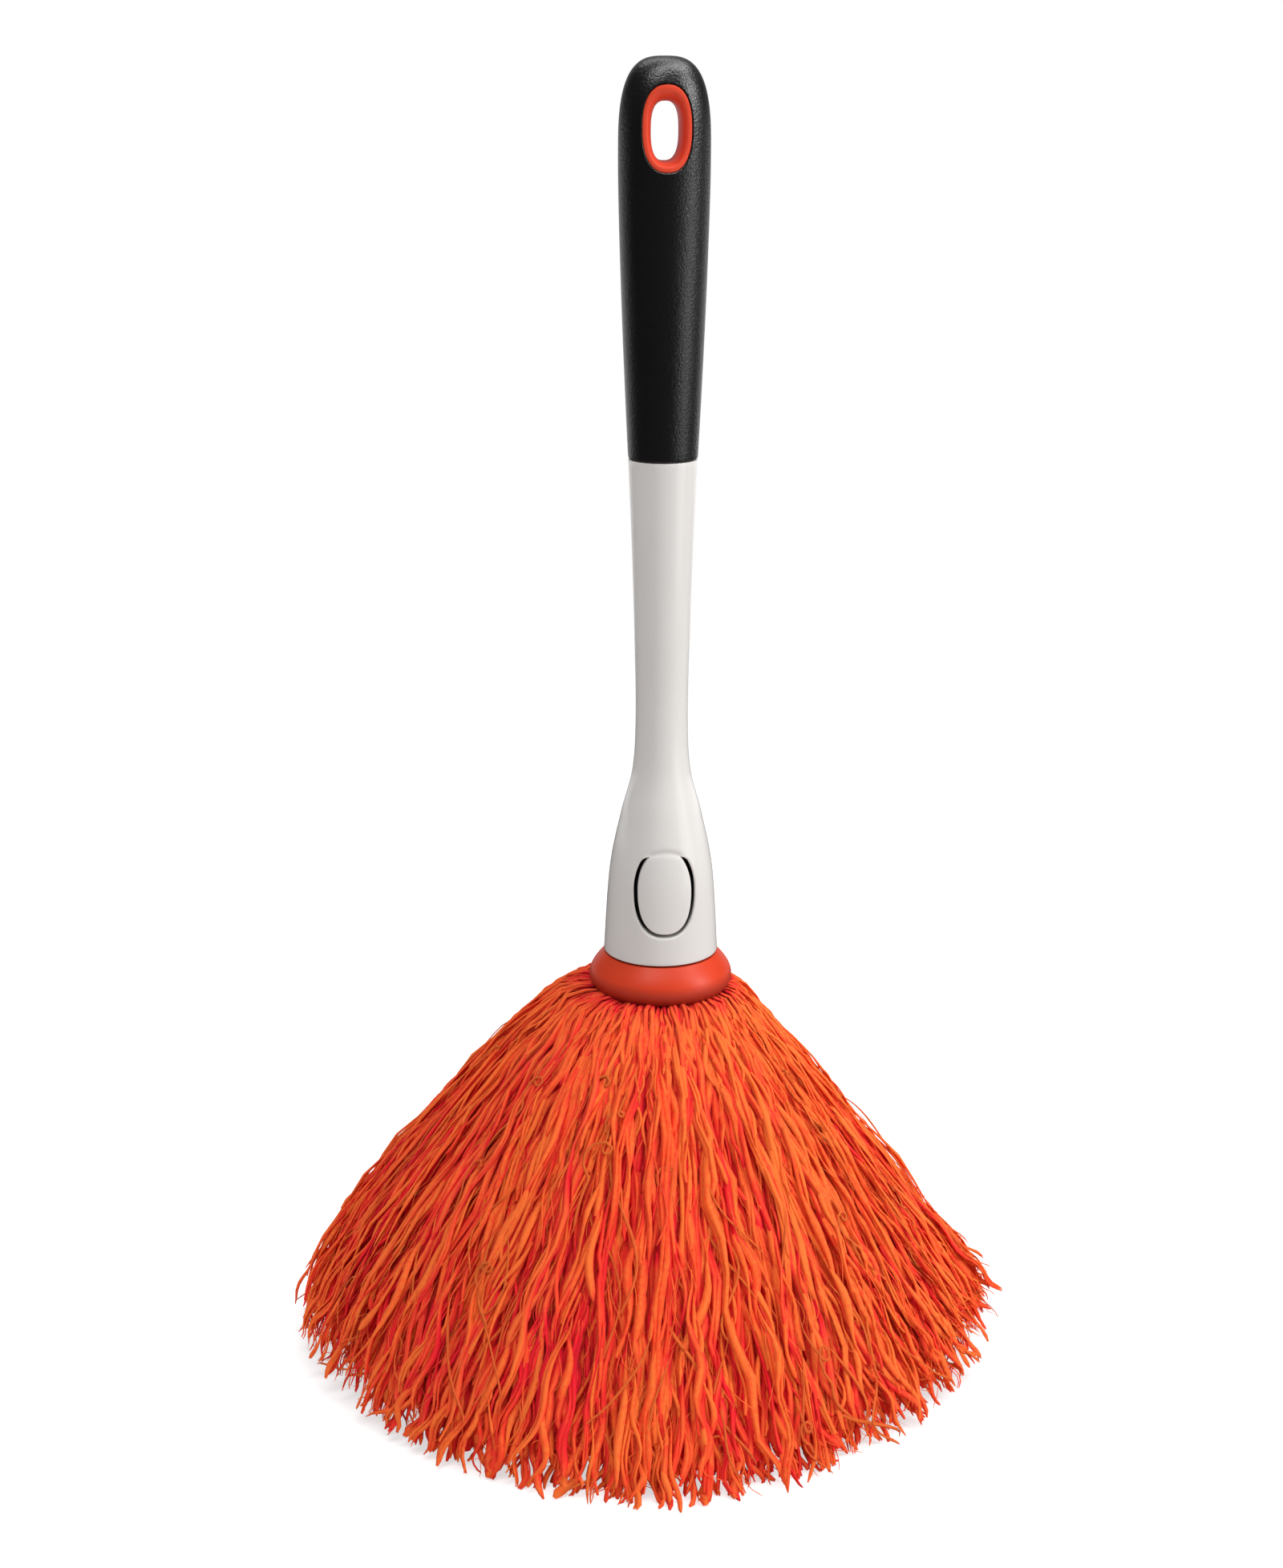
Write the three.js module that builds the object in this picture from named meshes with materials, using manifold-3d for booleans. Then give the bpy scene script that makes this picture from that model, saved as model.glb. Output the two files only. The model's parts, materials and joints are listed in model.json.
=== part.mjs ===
// Microfiber duster with a push-button removable head.
//
// A soft grip with a hang hole plugs into a slim moulded neck. The neck's bulb is a socket for
// the head: a tapered plug with a snap latch, a soft collar, and four rings of strands clamped
// on a spool. The strands fan out into a skirt that the duster can stand on.
//
// Units are millimetres and +Z is up. The origin is the centre of the surface under the skirt,
// and the button faces -Y.

import * as THREE from "three";
import { mergeVertices } from "three/addons/utils/BufferGeometryUtils.js";
import Module from "manifold-3d";

// Heights along the axis, from the surface up
const SKIRT_HEIGHT = 98.6;
const COLLAR_HEIGHT = 11.4;
const NECK_LENGTH = 136;
const GRIP_LENGTH = 101.3;

// Clearances
const SEAT_GAP = 0.3;
const SOCKET_GAP = 0.35;
const SLOT_WIDTH = 0.6;
const PRESS_GAP = 0.4;
const END_GAP = 1;
const CUT_OVERRUN = 1;

// Neck: outer radii, and heights above its mouth
const MOUTH_RADIUS = 15.7;
const BULB_RADIUS = 14.1;
const BULB_HEIGHT = 23.4;
const SHOULDER_RADIUS = 11;
const SHOULDER_HEIGHT = 39.2;
const NAPE_RADIUS = 7.85;
const NAPE_HEIGHT = 51.8;
const WAIST_RADIUS = 7.03;
const WAIST_HEIGHT = 67;
const SEAM_RADIUS = 9.15;
const STEM_FLARE_POWER = 1.5;

// Socket in the neck's bulb and the plug that fills it
const SOCKET_RADIUS = 12.8;
const SOCKET_DRAFT = 3;
const PLUG_HEIGHT = 32;
const PLUG_FRONT_WALL = 1.5;
const PLUG_FLOOR = 3;
const KEY_WIDTH = 3;
const KEY_HEIGHT = 1.2;
const KEY_LENGTH = 25;

// Release button: a tongue in the bulb's wall, inside an oval slot that its hinge closes
const BUTTON_WIDTH = 15.2;
const BUTTON_HEIGHT = 23.6;
const BUTTON_CENTRE = 20.6;
const BUTTON_HINGE_WIDTH = 9.2;
const BUTTON_THICKNESS = 1.6;
const BUTTON_TRAVEL = THREE.MathUtils.degToRad(5);

// Snap latch in the plug's front wall
const LATCH_WIDTH = 6;
const LATCH_THICKNESS = 1.3;
const LATCH_ROOT = 2.2;
const LATCH_BRIDGE = 2.2;
const BARB_HEIGHT = 2.6;
const BARB_RAMP = 4.5;

// Collar, flange and spool of the head
const COLLAR_RADIUS = 19.7;
const COLLAR_BULGE = 4.1;
const COLLAR_FOOT = 3.5;
const COLLAR_WAIST = { height: 0.38 };
const COLLAR_CROWN = { reach: 0.48, height: 0.66 };
const FLANGE_RADIUS = 13.9;
const FLANGE_RIM = 2.4;
const FLANGE_PLATE = 5.5;
const SPOOL_RADIUS = 6;
const SPOOL_ROOT_RADIUS = 8;

// Rings of strands, from the top of the spool down
const RING_HEIGHT = 3;
const RING_RADIUS = 16.8;
const RING_STEP = 1.4;
const SKIRT_RADIUS = 100;
const SKIRT_STEP = 11;
const STRAND_WIDTH = 5;
const STRAND_THICKNESS = 2.2;
const STRAND_TIP_WIDTH = 2;
const STRAND_TIP_THICKNESS = 1;
const STRAND_FILL = 0.78;
const STRAND_SWAY = THREE.MathUtils.degToRad(2);
const SWAY_WAVES = 8;
const STRAND_UNEVENNESS = 4;
const STRAND_SHOULDER = { spread: 0.22, height: 0.92 };
const STRAND_FALL = { spread: 0.84, height: 0.26 };
const STRANDS_PER_LAYER = [64, 48, 32, 16];
const STRAND_STEPS = [0.14, 0.4, 0.72, 1];

// Clamp that holds the rings on the spool
const WASHER_RADIUS = 10.5;
const WASHER_THICKNESS = 2;
const SCREW_RADIUS = 1.75;
const SCREW_LENGTH = 13;
const SCREW_HEAD_RADIUS = 3.6;
const SCREW_HEAD_HEIGHT = 2.4;
const SCREW_RECESS_WIDTH = 0.9;
const SCREW_RECESS_SPAN = 3.8;
const SCREW_RECESS_DEPTH = 1.2;

// Grip: a soft sleeve over a stiff core whose tang plugs into the neck
const GRIP_RADIUS = 11.8;
const GRIP_SWELL_HEIGHT = 74;
const GRIP_SWELL_POWER = 1.4;
const GRIP_DEPTH_RATIO = 0.86;
const DOME_HEIGHT = 18;
const DOME_POWER = 2.5;
const SLEEVE_WALL = 2;
const TANG_RADIUS = 5.9;
const TANG_TIP_RADIUS = 4.6;
const TANG_LENGTH = 40;

// Hang hole: a flared liner through the grip
const HOLE_DROP = 17.5;
const LINER_WIDTH = 12.5;
const LINER_HEIGHT = 21.2;
const LINER_LIP = 0.5;
const LINER_INSET = 0.2;
const THROAT_WIDTH = 7.8;
const THROAT_HEIGHT = 15.2;
const THROAT_LAND = 4;
const FLARE_DEPTH = 6.2;
const OVAL_POWER = 2.4;

// Facets
const SEGMENTS = 36;
const OVAL_SIDES = 32;
const NECK_STEPS = 24;
const SWELL_STEPS = 8;
const DOME_STEPS = 7;
const FLARE_STEPS = 4;
const BUTTON_STEPS = 22;
const COLLAR_STEPS = 5;

// Heights that several pieces share
const collarTop = SKIRT_HEIGHT + COLLAR_HEIGHT;
const seam = collarTop + NECK_LENGTH;
const top = seam + GRIP_LENGTH;
const plugTop = collarTop + PLUG_HEIGHT;
const holeHeight = top - HOLE_DROP;
const throughAll = 2 * COLLAR_RADIUS;

const wasm = await Module();
wasm.setup();

// A closed geometry as a solid that can be cut and joined.
function solidOf(geometry) {
  geometry.deleteAttribute("normal");
  geometry.deleteAttribute("uv");
  const merged = mergeVertices(geometry);
  return new wasm.Manifold(new wasm.Mesh({
    numProp: 3,
    vertProperties: merged.attributes.position.array,
    triVerts: Uint32Array.from(merged.index.array),
  }));
}

// A cut or joined solid as a geometry again.
function geometryOf(solid) {
  const mesh = solid.getMesh();
  const geometry = new THREE.BufferGeometry();
  geometry.setAttribute("position", new THREE.BufferAttribute(mesh.vertProperties, 3));
  geometry.setIndex(new THREE.BufferAttribute(mesh.triVerts, 1));
  geometry.computeVertexNormals();
  return geometry;
}

function shapeOf(outline) {
  return new THREE.Shape(outline.map(([across, up]) => new THREE.Vector2(across, up)));
}

// A profile of [radius, height] points turned about the vertical axis.
function revolve(profile) {
  const points = profile.map(([radius, height]) => new THREE.Vector2(radius, height));
  return new THREE.LatheGeometry(points, SEGMENTS).rotateX(Math.PI / 2);
}

// An outline of [x, z] points carried along Y, from front to back.
function carryBack(outline, front, back) {
  const settings = { depth: back - front, bevelEnabled: false };
  return new THREE.ExtrudeGeometry(shapeOf(outline), settings)
    .rotateX(Math.PI / 2)
    .translate(0, back, 0);
}

// A side outline of [y, z] points carried along X, half to each side.
function carryAcross(outline, width) {
  return new THREE.ExtrudeGeometry(shapeOf(outline), { depth: width, bevelEnabled: false })
    .translate(0, 0, -width / 2)
    .rotateX(Math.PI / 2)
    .rotateZ(Math.PI / 2);
}

function box(x0, x1, y0, y1, z0, z1) {
  return new THREE.BoxGeometry(x1 - x0, y1 - y0, z1 - z0)
    .translate((x0 + x1) / 2, (y0 + y1) / 2, (z0 + z1) / 2);
}

// Sections of equally many points, from front to back, joined into one closed body.
function loft(sections) {
  const count = sections[0].length;
  const triangles = [];
  for (let ring = 0; ring + 1 < sections.length; ring += 1) {
    for (let side = 0; side < count; side += 1) {
      const a = ring * count + side;
      const b = ring * count + ((side + 1) % count);
      triangles.push(a + count, b + count, b, a + count, b, a);
    }
  }
  const last = (sections.length - 1) * count;
  for (let side = 1; side + 1 < count; side += 1) {
    triangles.push(0, side, side + 1, last, last + side + 1, last + side);
  }
  const geometry = new THREE.BufferGeometry();
  geometry.setAttribute("position", new THREE.Float32BufferAttribute(sections.flat(2), 3));
  geometry.setIndex(triangles);
  return geometry;
}

// Neck

// The neck's side view as [radius, height] points: the bulb narrows through the shoulder and
// the nape to the waist, and the stem flares from there to the seam with the grip.
function neckProfile() {
  const stations = [
    [MOUTH_RADIUS, 0],
    [BULB_RADIUS, BULB_HEIGHT],
    [SHOULDER_RADIUS, SHOULDER_HEIGHT],
    [NAPE_RADIUS, NAPE_HEIGHT],
    [WAIST_RADIUS, WAIST_HEIGHT],
  ];
  for (const share of [1 / 3, 2 / 3, 1]) {
    const flare = (SEAM_RADIUS - WAIST_RADIUS) * share ** STEM_FLARE_POWER;
    stations.push([WAIST_RADIUS + flare, WAIST_HEIGHT + (NECK_LENGTH - WAIST_HEIGHT) * share]);
  }
  const curve = new THREE.SplineCurve(stations.map(([radius, up]) => new THREE.Vector2(radius, up)));
  return curve.getPoints(NECK_STEPS).map((point) => [point.x, collarTop + point.y]);
}

const neckSide = neckProfile();

// The neck's outer radius at a height above its mouth.
function neckRadius(up) {
  const height = collarTop + up;
  const above = neckSide.findIndex((point) => point[1] >= height);
  const [lowRadius, low] = neckSide[above - 1];
  const [highRadius, high] = neckSide[above];
  return THREE.MathUtils.mapLinear(height, low, high, lowRadius, highRadius);
}

function socketRadius(up) {
  return SOCKET_RADIUS - SOCKET_DRAFT * (up / PLUG_HEIGHT);
}

function plugRadius(up) {
  return socketRadius(up) - SOCKET_GAP;
}

// The neck's outline with nothing cut from it, drawn in by an even wall.
function neckCore(wall) {
  const side = neckSide.map(([radius, height]) => [radius - wall, height]);
  return solidOf(revolve([[0, collarTop], ...side, [0, seam]]));
}

// The button's oval, cut straight across at its hinge.
const hingeAngle = Math.acos(BUTTON_HINGE_WIDTH / BUTTON_WIDTH);
const hingeRise = BUTTON_CENTRE + (BUTTON_HEIGHT / 2) * Math.sin(hingeAngle);

function buttonOutline(slot, hingeGap) {
  const halfWidth = BUTTON_WIDTH / 2 + slot;
  const halfHeight = BUTTON_HEIGHT / 2 + slot;
  const start = Math.asin((hingeRise + hingeGap - BUTTON_CENTRE) / halfHeight);
  const oval = new THREE.EllipseCurve(
    0, collarTop + BUTTON_CENTRE, halfWidth, halfHeight, Math.PI - start, 2 * Math.PI + start,
  );
  return oval.getPoints(BUTTON_STEPS).map((point) => [point.x, point.y]);
}

// The plug's front is flat, far enough back to leave room for the pressed button.
const buttonInside = neckRadius(BUTTON_CENTRE) - BUTTON_THICKNESS;
const buttonSide = Math.sqrt(buttonInside ** 2 - (BUTTON_WIDTH / 2) ** 2);
const buttonPress = (hingeRise - BUTTON_CENTRE) * Math.sin(BUTTON_TRAVEL);
const plugFlat = buttonSide - buttonPress - PRESS_GAP;
const plugBore = plugFlat - PLUG_FRONT_WALL;

// The key on the back of the plug, or with a clearance the groove for it in the socket.
function keySide(gap, start, end) {
  const root = (plugBore + plugRadius(KEY_LENGTH)) / 2;
  const reach = KEY_HEIGHT + gap;
  return [
    [root, collarTop + start],
    [plugRadius(start) + reach, collarTop + start],
    [plugRadius(end) + reach, collarTop + end],
    [root, collarTop + end],
  ];
}

function neckHousing() {
  const roof = PLUG_HEIGHT + END_GAP;
  const boreFloor = seam - TANG_LENGTH - END_GAP;
  const body = revolve([
    [0, collarTop + roof],
    [socketRadius(roof), collarTop + roof],
    [socketRadius(0), collarTop],
    ...neckSide,
    [TANG_RADIUS + SEAT_GAP, seam],
    [TANG_TIP_RADIUS + SEAT_GAP, boreFloor],
    [0, boreFloor],
  ]);
  const window = carryBack(buttonOutline(SLOT_WIDTH, SEAT_GAP), -throughAll, 0);
  const groove = carryAcross(
    keySide(SOCKET_GAP, -CUT_OVERRUN, KEY_LENGTH + END_GAP), KEY_WIDTH + 2 * SOCKET_GAP,
  );
  return geometryOf(solidOf(body).subtract(solidOf(window)).subtract(solidOf(groove)));
}

function releaseButton() {
  const tongue = solidOf(carryBack(buttonOutline(0, 0), -throughAll, 0));
  return geometryOf(tongue.intersect(neckCore(0)).subtract(neckCore(BUTTON_THICKNESS)));
}

// Head plug and latch

const latchTop = plugTop - LATCH_BRIDGE - SEAT_GAP;
// The barb catches on the window's curved lower edge, which is highest at the barb's corners.
const ledgeShare = (LATCH_WIDTH / 2) / (BUTTON_WIDTH / 2 + SLOT_WIDTH);
const ledgeDrop = (BUTTON_HEIGHT / 2 + SLOT_WIDTH) * Math.sqrt(1 - ledgeShare ** 2);
const barbRise = BUTTON_CENTRE - ledgeDrop + SEAT_GAP;
const barbFoot = collarTop + barbRise;
const barbReach = Math.sqrt(
  (neckRadius(barbRise + BARB_HEIGHT) - BUTTON_THICKNESS) ** 2 - (LATCH_WIDTH / 2) ** 2,
) - SEAT_GAP;

function latchArm() {
  const front = -plugFlat;
  const back = front + LATCH_THICKNESS;
  const barbTop = barbFoot + BARB_HEIGHT;
  return carryAcross([
    [-barbReach, barbFoot],
    [back, barbFoot],
    [back, latchTop - LATCH_ROOT],
    [back + LATCH_THICKNESS / 2, latchTop],
    [front, latchTop],
    [front, barbTop + BARB_RAMP],
    [-barbReach, barbTop],
  ], LATCH_WIDTH);
}

function headPlug() {
  const spoolFoot = SKIRT_HEIGHT - STRANDS_PER_LAYER.length * (RING_HEIGHT + SEAT_GAP);
  const flangeTop = collarTop - SEAT_GAP;
  const flangeInside = flangeTop - FLANGE_PLATE;
  const pilot = SCREW_RADIUS + SEAT_GAP;
  const pilotEnd = spoolFoot + SCREW_LENGTH + END_GAP;
  const body = revolve([
    [0, pilotEnd],
    [pilot, pilotEnd],
    [pilot, spoolFoot],
    [SPOOL_RADIUS, spoolFoot],
    [SPOOL_RADIUS, SKIRT_HEIGHT],
    [SPOOL_ROOT_RADIUS, flangeInside],
    [FLANGE_RADIUS - FLANGE_RIM, flangeInside],
    [FLANGE_RADIUS - FLANGE_RIM, SKIRT_HEIGHT],
    [FLANGE_RADIUS, SKIRT_HEIGHT],
    [FLANGE_RADIUS, flangeTop],
    [plugRadius(0), flangeTop],
    [plugRadius(PLUG_HEIGHT), plugTop],
    [plugBore, plugTop],
    [plugBore, collarTop + PLUG_FLOOR],
    [0, collarTop + PLUG_FLOOR],
  ]);
  const key = carryAcross(keySide(0, -SEAT_GAP, KEY_LENGTH), KEY_WIDTH);
  const flatFoot = collarTop + PLUG_FLOOR;
  const flat = box(-throughAll, throughAll, -throughAll, -plugFlat, flatFoot, plugTop + CUT_OVERRUN);
  const halfWindow = LATCH_WIDTH / 2 + SEAT_GAP;
  const windowFoot = barbFoot - END_GAP;
  const window = box(-halfWindow, halfWindow, -throughAll, 0, windowFoot, latchTop + SEAT_GAP);
  return geometryOf(solidOf(body).add(solidOf(key)).subtract(solidOf(flat)).subtract(solidOf(window)));
}

// The collar slopes out from the neck to its widest line and rolls under to its foot.
function collarRing() {
  const crown = collarTop - SEAT_GAP;
  const bulge = SKIRT_HEIGHT + COLLAR_BULGE;
  const inside = FLANGE_RADIUS + SEAT_GAP;
  const rise = crown - bulge;
  const reach = COLLAR_RADIUS - MOUTH_RADIUS;
  const slope = new THREE.CubicBezierCurve(
    new THREE.Vector2(COLLAR_RADIUS, bulge),
    new THREE.Vector2(COLLAR_RADIUS, bulge + rise * COLLAR_WAIST.height),
    new THREE.Vector2(MOUTH_RADIUS + reach * COLLAR_CROWN.reach, bulge + rise * COLLAR_CROWN.height),
    new THREE.Vector2(MOUTH_RADIUS, crown),
  );
  const roll = new THREE.EllipseCurve(
    COLLAR_RADIUS - COLLAR_FOOT, bulge, COLLAR_FOOT, COLLAR_BULGE, -Math.PI / 2, 0,
  );
  const side = [...roll.getPoints(COLLAR_STEPS), ...slope.getPoints(COLLAR_STEPS).slice(1)];
  return revolve([
    [inside, crown],
    [inside, SKIRT_HEIGHT],
    ...side.map((point) => [point.x, point.y]),
    [inside, crown],
  ]);
}

// Strands

const GOLDEN_SHARE = (Math.sqrt(5) - 1) / 2;

// An irregular share from 0 to 1, alike in each quarter of the skirt and in its mirror image.
function unevenShare(angle) {
  const inQuarter = Math.abs(Math.sin(2 * angle));
  return (inQuarter * STRANDS_PER_LAYER[0] * GOLDEN_SHARE) % 1;
}

// The path of a strand in its upright plane: straight out of its ring, over the shoulder of
// the skirt and down to the surface.
function strandPath(rootRadius, rootHeight, tipRadius) {
  const spread = tipRadius - rootRadius;
  return new THREE.CubicBezierCurve(
    new THREE.Vector2(rootRadius, rootHeight),
    new THREE.Vector2(rootRadius + STRAND_SHOULDER.spread * spread, STRAND_SHOULDER.height * rootHeight),
    new THREE.Vector2(rootRadius + STRAND_FALL.spread * spread, STRAND_FALL.height * rootHeight),
    new THREE.Vector2(tipRadius, 0),
  );
}

// A point at an angle about the axis, moved sideways along the circle.
function aroundAxis(radius, angle, sideways, height) {
  return [
    radius * Math.cos(angle) - sideways * Math.sin(angle),
    radius * Math.sin(angle) + sideways * Math.cos(angle),
    height,
  ];
}

// The three corners of a strand partway along it. An upper strand has its flat side on top
// and a lower one below, so that neighbours lie in each other's gaps. A tip is cut level.
function strandSection(path, share, angle, pitch, upper) {
  const { x: radius, y: height } = path.getPoint(share);
  const along = path.getTangent(share);
  const lift = share === 1 ? new THREE.Vector2(1, 0) : new THREE.Vector2(-along.y, along.x);
  const fullWidth = Math.min(STRAND_WIDTH, STRAND_FILL * pitch * radius);
  const width = share === 1 ? Math.min(STRAND_TIP_WIDTH, fullWidth) : fullWidth;
  const half = (share === 1 ? STRAND_TIP_THICKNESS : STRAND_THICKNESS) / 2;
  const bent = angle + STRAND_SWAY * Math.sin(Math.PI * share) * Math.sin(SWAY_WAVES * angle);
  const corner = (sideways, up) => (
    aroundAxis(radius + up * lift.x, bent, sideways, height + up * lift.y)
  );
  return upper
    ? [corner(-width / 2, half), corner(0, -half), corner(width / 2, half)]
    : [corner(-width / 2, -half), corner(width / 2, -half), corner(0, half)];
}

// A header ring whose rim is a zigzag of triangles, each drawn out into a strand. The upper
// strands reach further out than the lower ones.
function strandRing(index) {
  const count = STRANDS_PER_LAYER[index];
  const pitch = (2 * Math.PI) / count;
  const rim = RING_RADIUS - index * RING_STEP;
  const bore = SPOOL_RADIUS + SEAT_GAP;
  const crown = SKIRT_HEIGHT - SEAT_GAP - index * (RING_HEIGHT + SEAT_GAP);
  const foot = crown - RING_HEIGHT;
  const points = [];
  const triangles = [];
  for (let i = 0; i < count; i += 1) {
    points.push(
      aroundAxis(rim, i * pitch, 0, crown),
      aroundAxis(rim, (i + 0.5) * pitch, 0, foot),
      aroundAxis(bore, i * pitch, 0, crown),
      aroundAxis(bore, (i + 0.5) * pitch, 0, foot),
    );
  }
  const rimTop = (i) => 4 * (i % count);
  const rimFoot = (i) => rimTop(i) + 1;
  const boreTop = (i) => rimTop(i) + 2;
  const boreFoot = (i) => rimTop(i) + 3;

  function drawOut(root, angle, reach, upper) {
    const tip = reach - STRAND_UNEVENNESS * unevenShare(angle);
    const path = strandPath(rim, (crown + foot) / 2, tip);
    let inner = root;
    for (const share of STRAND_STEPS) {
      const outer = [0, 1, 2].map((side) => points.length + side);
      points.push(...strandSection(path, share, angle, pitch, upper));
      for (let side = 0; side < 3; side += 1) {
        const next = (side + 1) % 3;
        triangles.push(inner[side], inner[next], outer[next], inner[side], outer[next], outer[side]);
      }
      inner = outer;
    }
    triangles.push(...inner);
  }

  const upperReach = SKIRT_RADIUS - 2 * index * SKIRT_STEP;
  const lowerReach = upperReach - SKIRT_STEP;
  for (let i = 0; i < count; i += 1) {
    triangles.push(rimTop(i), rimTop(i + 1), boreTop(i + 1), rimTop(i), boreTop(i + 1), boreTop(i));
    triangles.push(rimFoot(i + 1), rimFoot(i), boreFoot(i), rimFoot(i + 1), boreFoot(i), boreFoot(i + 1));
    triangles.push(boreTop(i), boreTop(i + 1), boreFoot(i), boreFoot(i + 1), boreFoot(i), boreTop(i + 1));
    const upperRoot = [rimTop(i), rimFoot(i), rimTop(i + 1)];
    const lowerRoot = [rimFoot(i), rimFoot(i + 1), rimTop(i + 1)];
    drawOut(upperRoot, (i + 0.5) * pitch, upperReach, true);
    drawOut(lowerRoot, (i + 1) * pitch, lowerReach, false);
  }
  const geometry = new THREE.BufferGeometry();
  geometry.setAttribute("position", new THREE.Float32BufferAttribute(points.flat(), 3));
  geometry.setIndex(triangles);
  geometry.computeVertexNormals();
  return geometry;
}

// Clamp

const washerTop = SKIRT_HEIGHT - STRANDS_PER_LAYER.length * (RING_HEIGHT + SEAT_GAP) - SEAT_GAP;
const washerFoot = washerTop - WASHER_THICKNESS;
const screwSeat = washerFoot - SEAT_GAP;

function clampWasher() {
  const hole = SCREW_RADIUS + SEAT_GAP;
  const edge = WASHER_THICKNESS / 2;
  return revolve([
    [hole, washerTop],
    [hole, washerFoot],
    [WASHER_RADIUS - edge, washerFoot],
    [WASHER_RADIUS, washerFoot + edge],
    [WASHER_RADIUS, washerTop],
    [hole, washerTop],
  ]);
}

function clampScrew() {
  const dome = new THREE.EllipseCurve(
    0, screwSeat, SCREW_HEAD_RADIUS, SCREW_HEAD_HEIGHT, -Math.PI / 2, 0,
  );
  const tip = screwSeat + SEAT_GAP + WASHER_THICKNESS + SEAT_GAP + SCREW_LENGTH;
  const body = solidOf(revolve([
    ...dome.getPoints(COLLAR_STEPS).map((point) => [point.x, point.y]),
    [SCREW_RADIUS, screwSeat],
    [SCREW_RADIUS, tip - SCREW_RADIUS],
    [0, tip],
  ]));
  const half = SCREW_RECESS_WIDTH / 2;
  const span = SCREW_RECESS_SPAN / 2;
  const face = screwSeat - SCREW_HEAD_HEIGHT;
  const recessFoot = face - CUT_OVERRUN;
  const recessEnd = face + SCREW_RECESS_DEPTH;
  const recess = solidOf(box(-half, half, -span, span, recessFoot, recessEnd))
    .add(solidOf(box(-span, span, -half, half, recessFoot, recessEnd)));
  return geometryOf(body.subtract(recess));
}

// Grip

// The grip's side view as [radius, height] points from the seam to the top, drawn in by an
// even wall: it swells to its widest line and ends in a squarish dome.
function gripSide(wall) {
  const domeFoot = GRIP_LENGTH - DOME_HEIGHT;
  const swell = (up) => {
    const left = Math.max(0, 1 - up / GRIP_SWELL_HEIGHT);
    return GRIP_RADIUS - (GRIP_RADIUS - SEAM_RADIUS) * left ** GRIP_SWELL_POWER - wall;
  };
  const side = [];
  for (let step = 0; step < SWELL_STEPS; step += 1) {
    const up = THREE.MathUtils.lerp(SEAT_GAP, domeFoot, step / SWELL_STEPS);
    side.push([swell(up), seam + up]);
  }
  for (let step = 0; step <= DOME_STEPS; step += 1) {
    const turn = (Math.PI / 2) * (step / DOME_STEPS);
    const radius = step === DOME_STEPS ? 0 : swell(domeFoot) * Math.cos(turn) ** (2 / DOME_POWER);
    const rise = (DOME_HEIGHT - wall) * Math.sin(turn) ** (2 / DOME_POWER);
    side.push([radius, seam + domeFoot + rise]);
  }
  return side;
}

// The round seam flattens towards the widest line, so the grip is wider than it is deep.
function flattened(geometry) {
  const position = geometry.attributes.position;
  for (let i = 0; i < position.count; i += 1) {
    const share = THREE.MathUtils.smoothstep(position.getZ(i), seam, seam + GRIP_SWELL_HEIGHT);
    position.setY(i, position.getY(i) * THREE.MathUtils.lerp(1, GRIP_DEPTH_RATIO, share));
  }
  return geometry;
}

// A squarish oval with a level side at the top and at the bottom.
function roundedOval(width, height) {
  const outline = [];
  for (let side = 0; side < OVAL_SIDES; side += 1) {
    const turn = (2 * Math.PI * (side + 0.5)) / OVAL_SIDES;
    const bend = (value) => Math.sign(value) * Math.abs(value) ** (2 / OVAL_POWER);
    outline.push([(width / 2) * bend(Math.cos(turn)), holeHeight + (height / 2) * bend(Math.sin(turn))]);
  }
  return outline;
}

function holeCut() {
  const outline = roundedOval(LINER_WIDTH + 2 * SEAT_GAP, LINER_HEIGHT + 2 * SEAT_GAP);
  return solidOf(carryBack(outline, -throughAll, throughAll));
}

function gripSleeve() {
  const outside = gripSide(0);
  const inside = gripSide(SLEEVE_WALL).reverse();
  const body = solidOf(flattened(revolve([...inside, ...outside])));
  return geometryOf(body.subtract(holeCut()));
}

function gripCore() {
  const body = solidOf(flattened(revolve([
    [0, seam - TANG_LENGTH],
    [TANG_TIP_RADIUS, seam - TANG_LENGTH],
    [TANG_RADIUS, seam + SEAT_GAP],
    ...gripSide(SLEEVE_WALL + SEAT_GAP),
  ])));
  return geometryOf(body.subtract(holeCut()));
}

// The liner fills the hole flush with the grip. Its throat is straight in the middle and
// flares along an elliptic arc towards both faces.
function hangHoleLiner() {
  const halfLand = THROAT_LAND / 2;
  const front = [[throughAll, 1]];
  for (let step = FLARE_STEPS; step >= 0; step -= 1) {
    const share = step / FLARE_STEPS;
    front.push([halfLand + FLARE_DEPTH * share, 1 - Math.sqrt(1 - share ** 2)]);
  }
  const back = front.map(([depth, flare]) => [-depth, flare]).reverse();
  const mouthWidth = LINER_WIDTH - 2 * LINER_LIP;
  const mouthHeight = LINER_HEIGHT - 2 * LINER_LIP;
  const throat = loft([...front, ...back].map(([depth, flare]) => {
    const width = THREE.MathUtils.lerp(THROAT_WIDTH, mouthWidth, flare);
    const height = THREE.MathUtils.lerp(THROAT_HEIGHT, mouthHeight, flare);
    return roundedOval(width, height).map(([x, z]) => [x, -depth, z]);
  }));
  const block = solidOf(carryBack(roundedOval(LINER_WIDTH, LINER_HEIGHT), -throughAll, throughAll));
  const side = gripSide(LINER_INSET);
  const grip = solidOf(flattened(revolve([[0, seam + SEAT_GAP], ...side])));
  return geometryOf(block.intersect(grip).subtract(solidOf(throat)));
}

// Materials

function finish(color, roughness, metalness = 0) {
  return new THREE.MeshStandardMaterial({ color, roughness, metalness });
}

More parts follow.
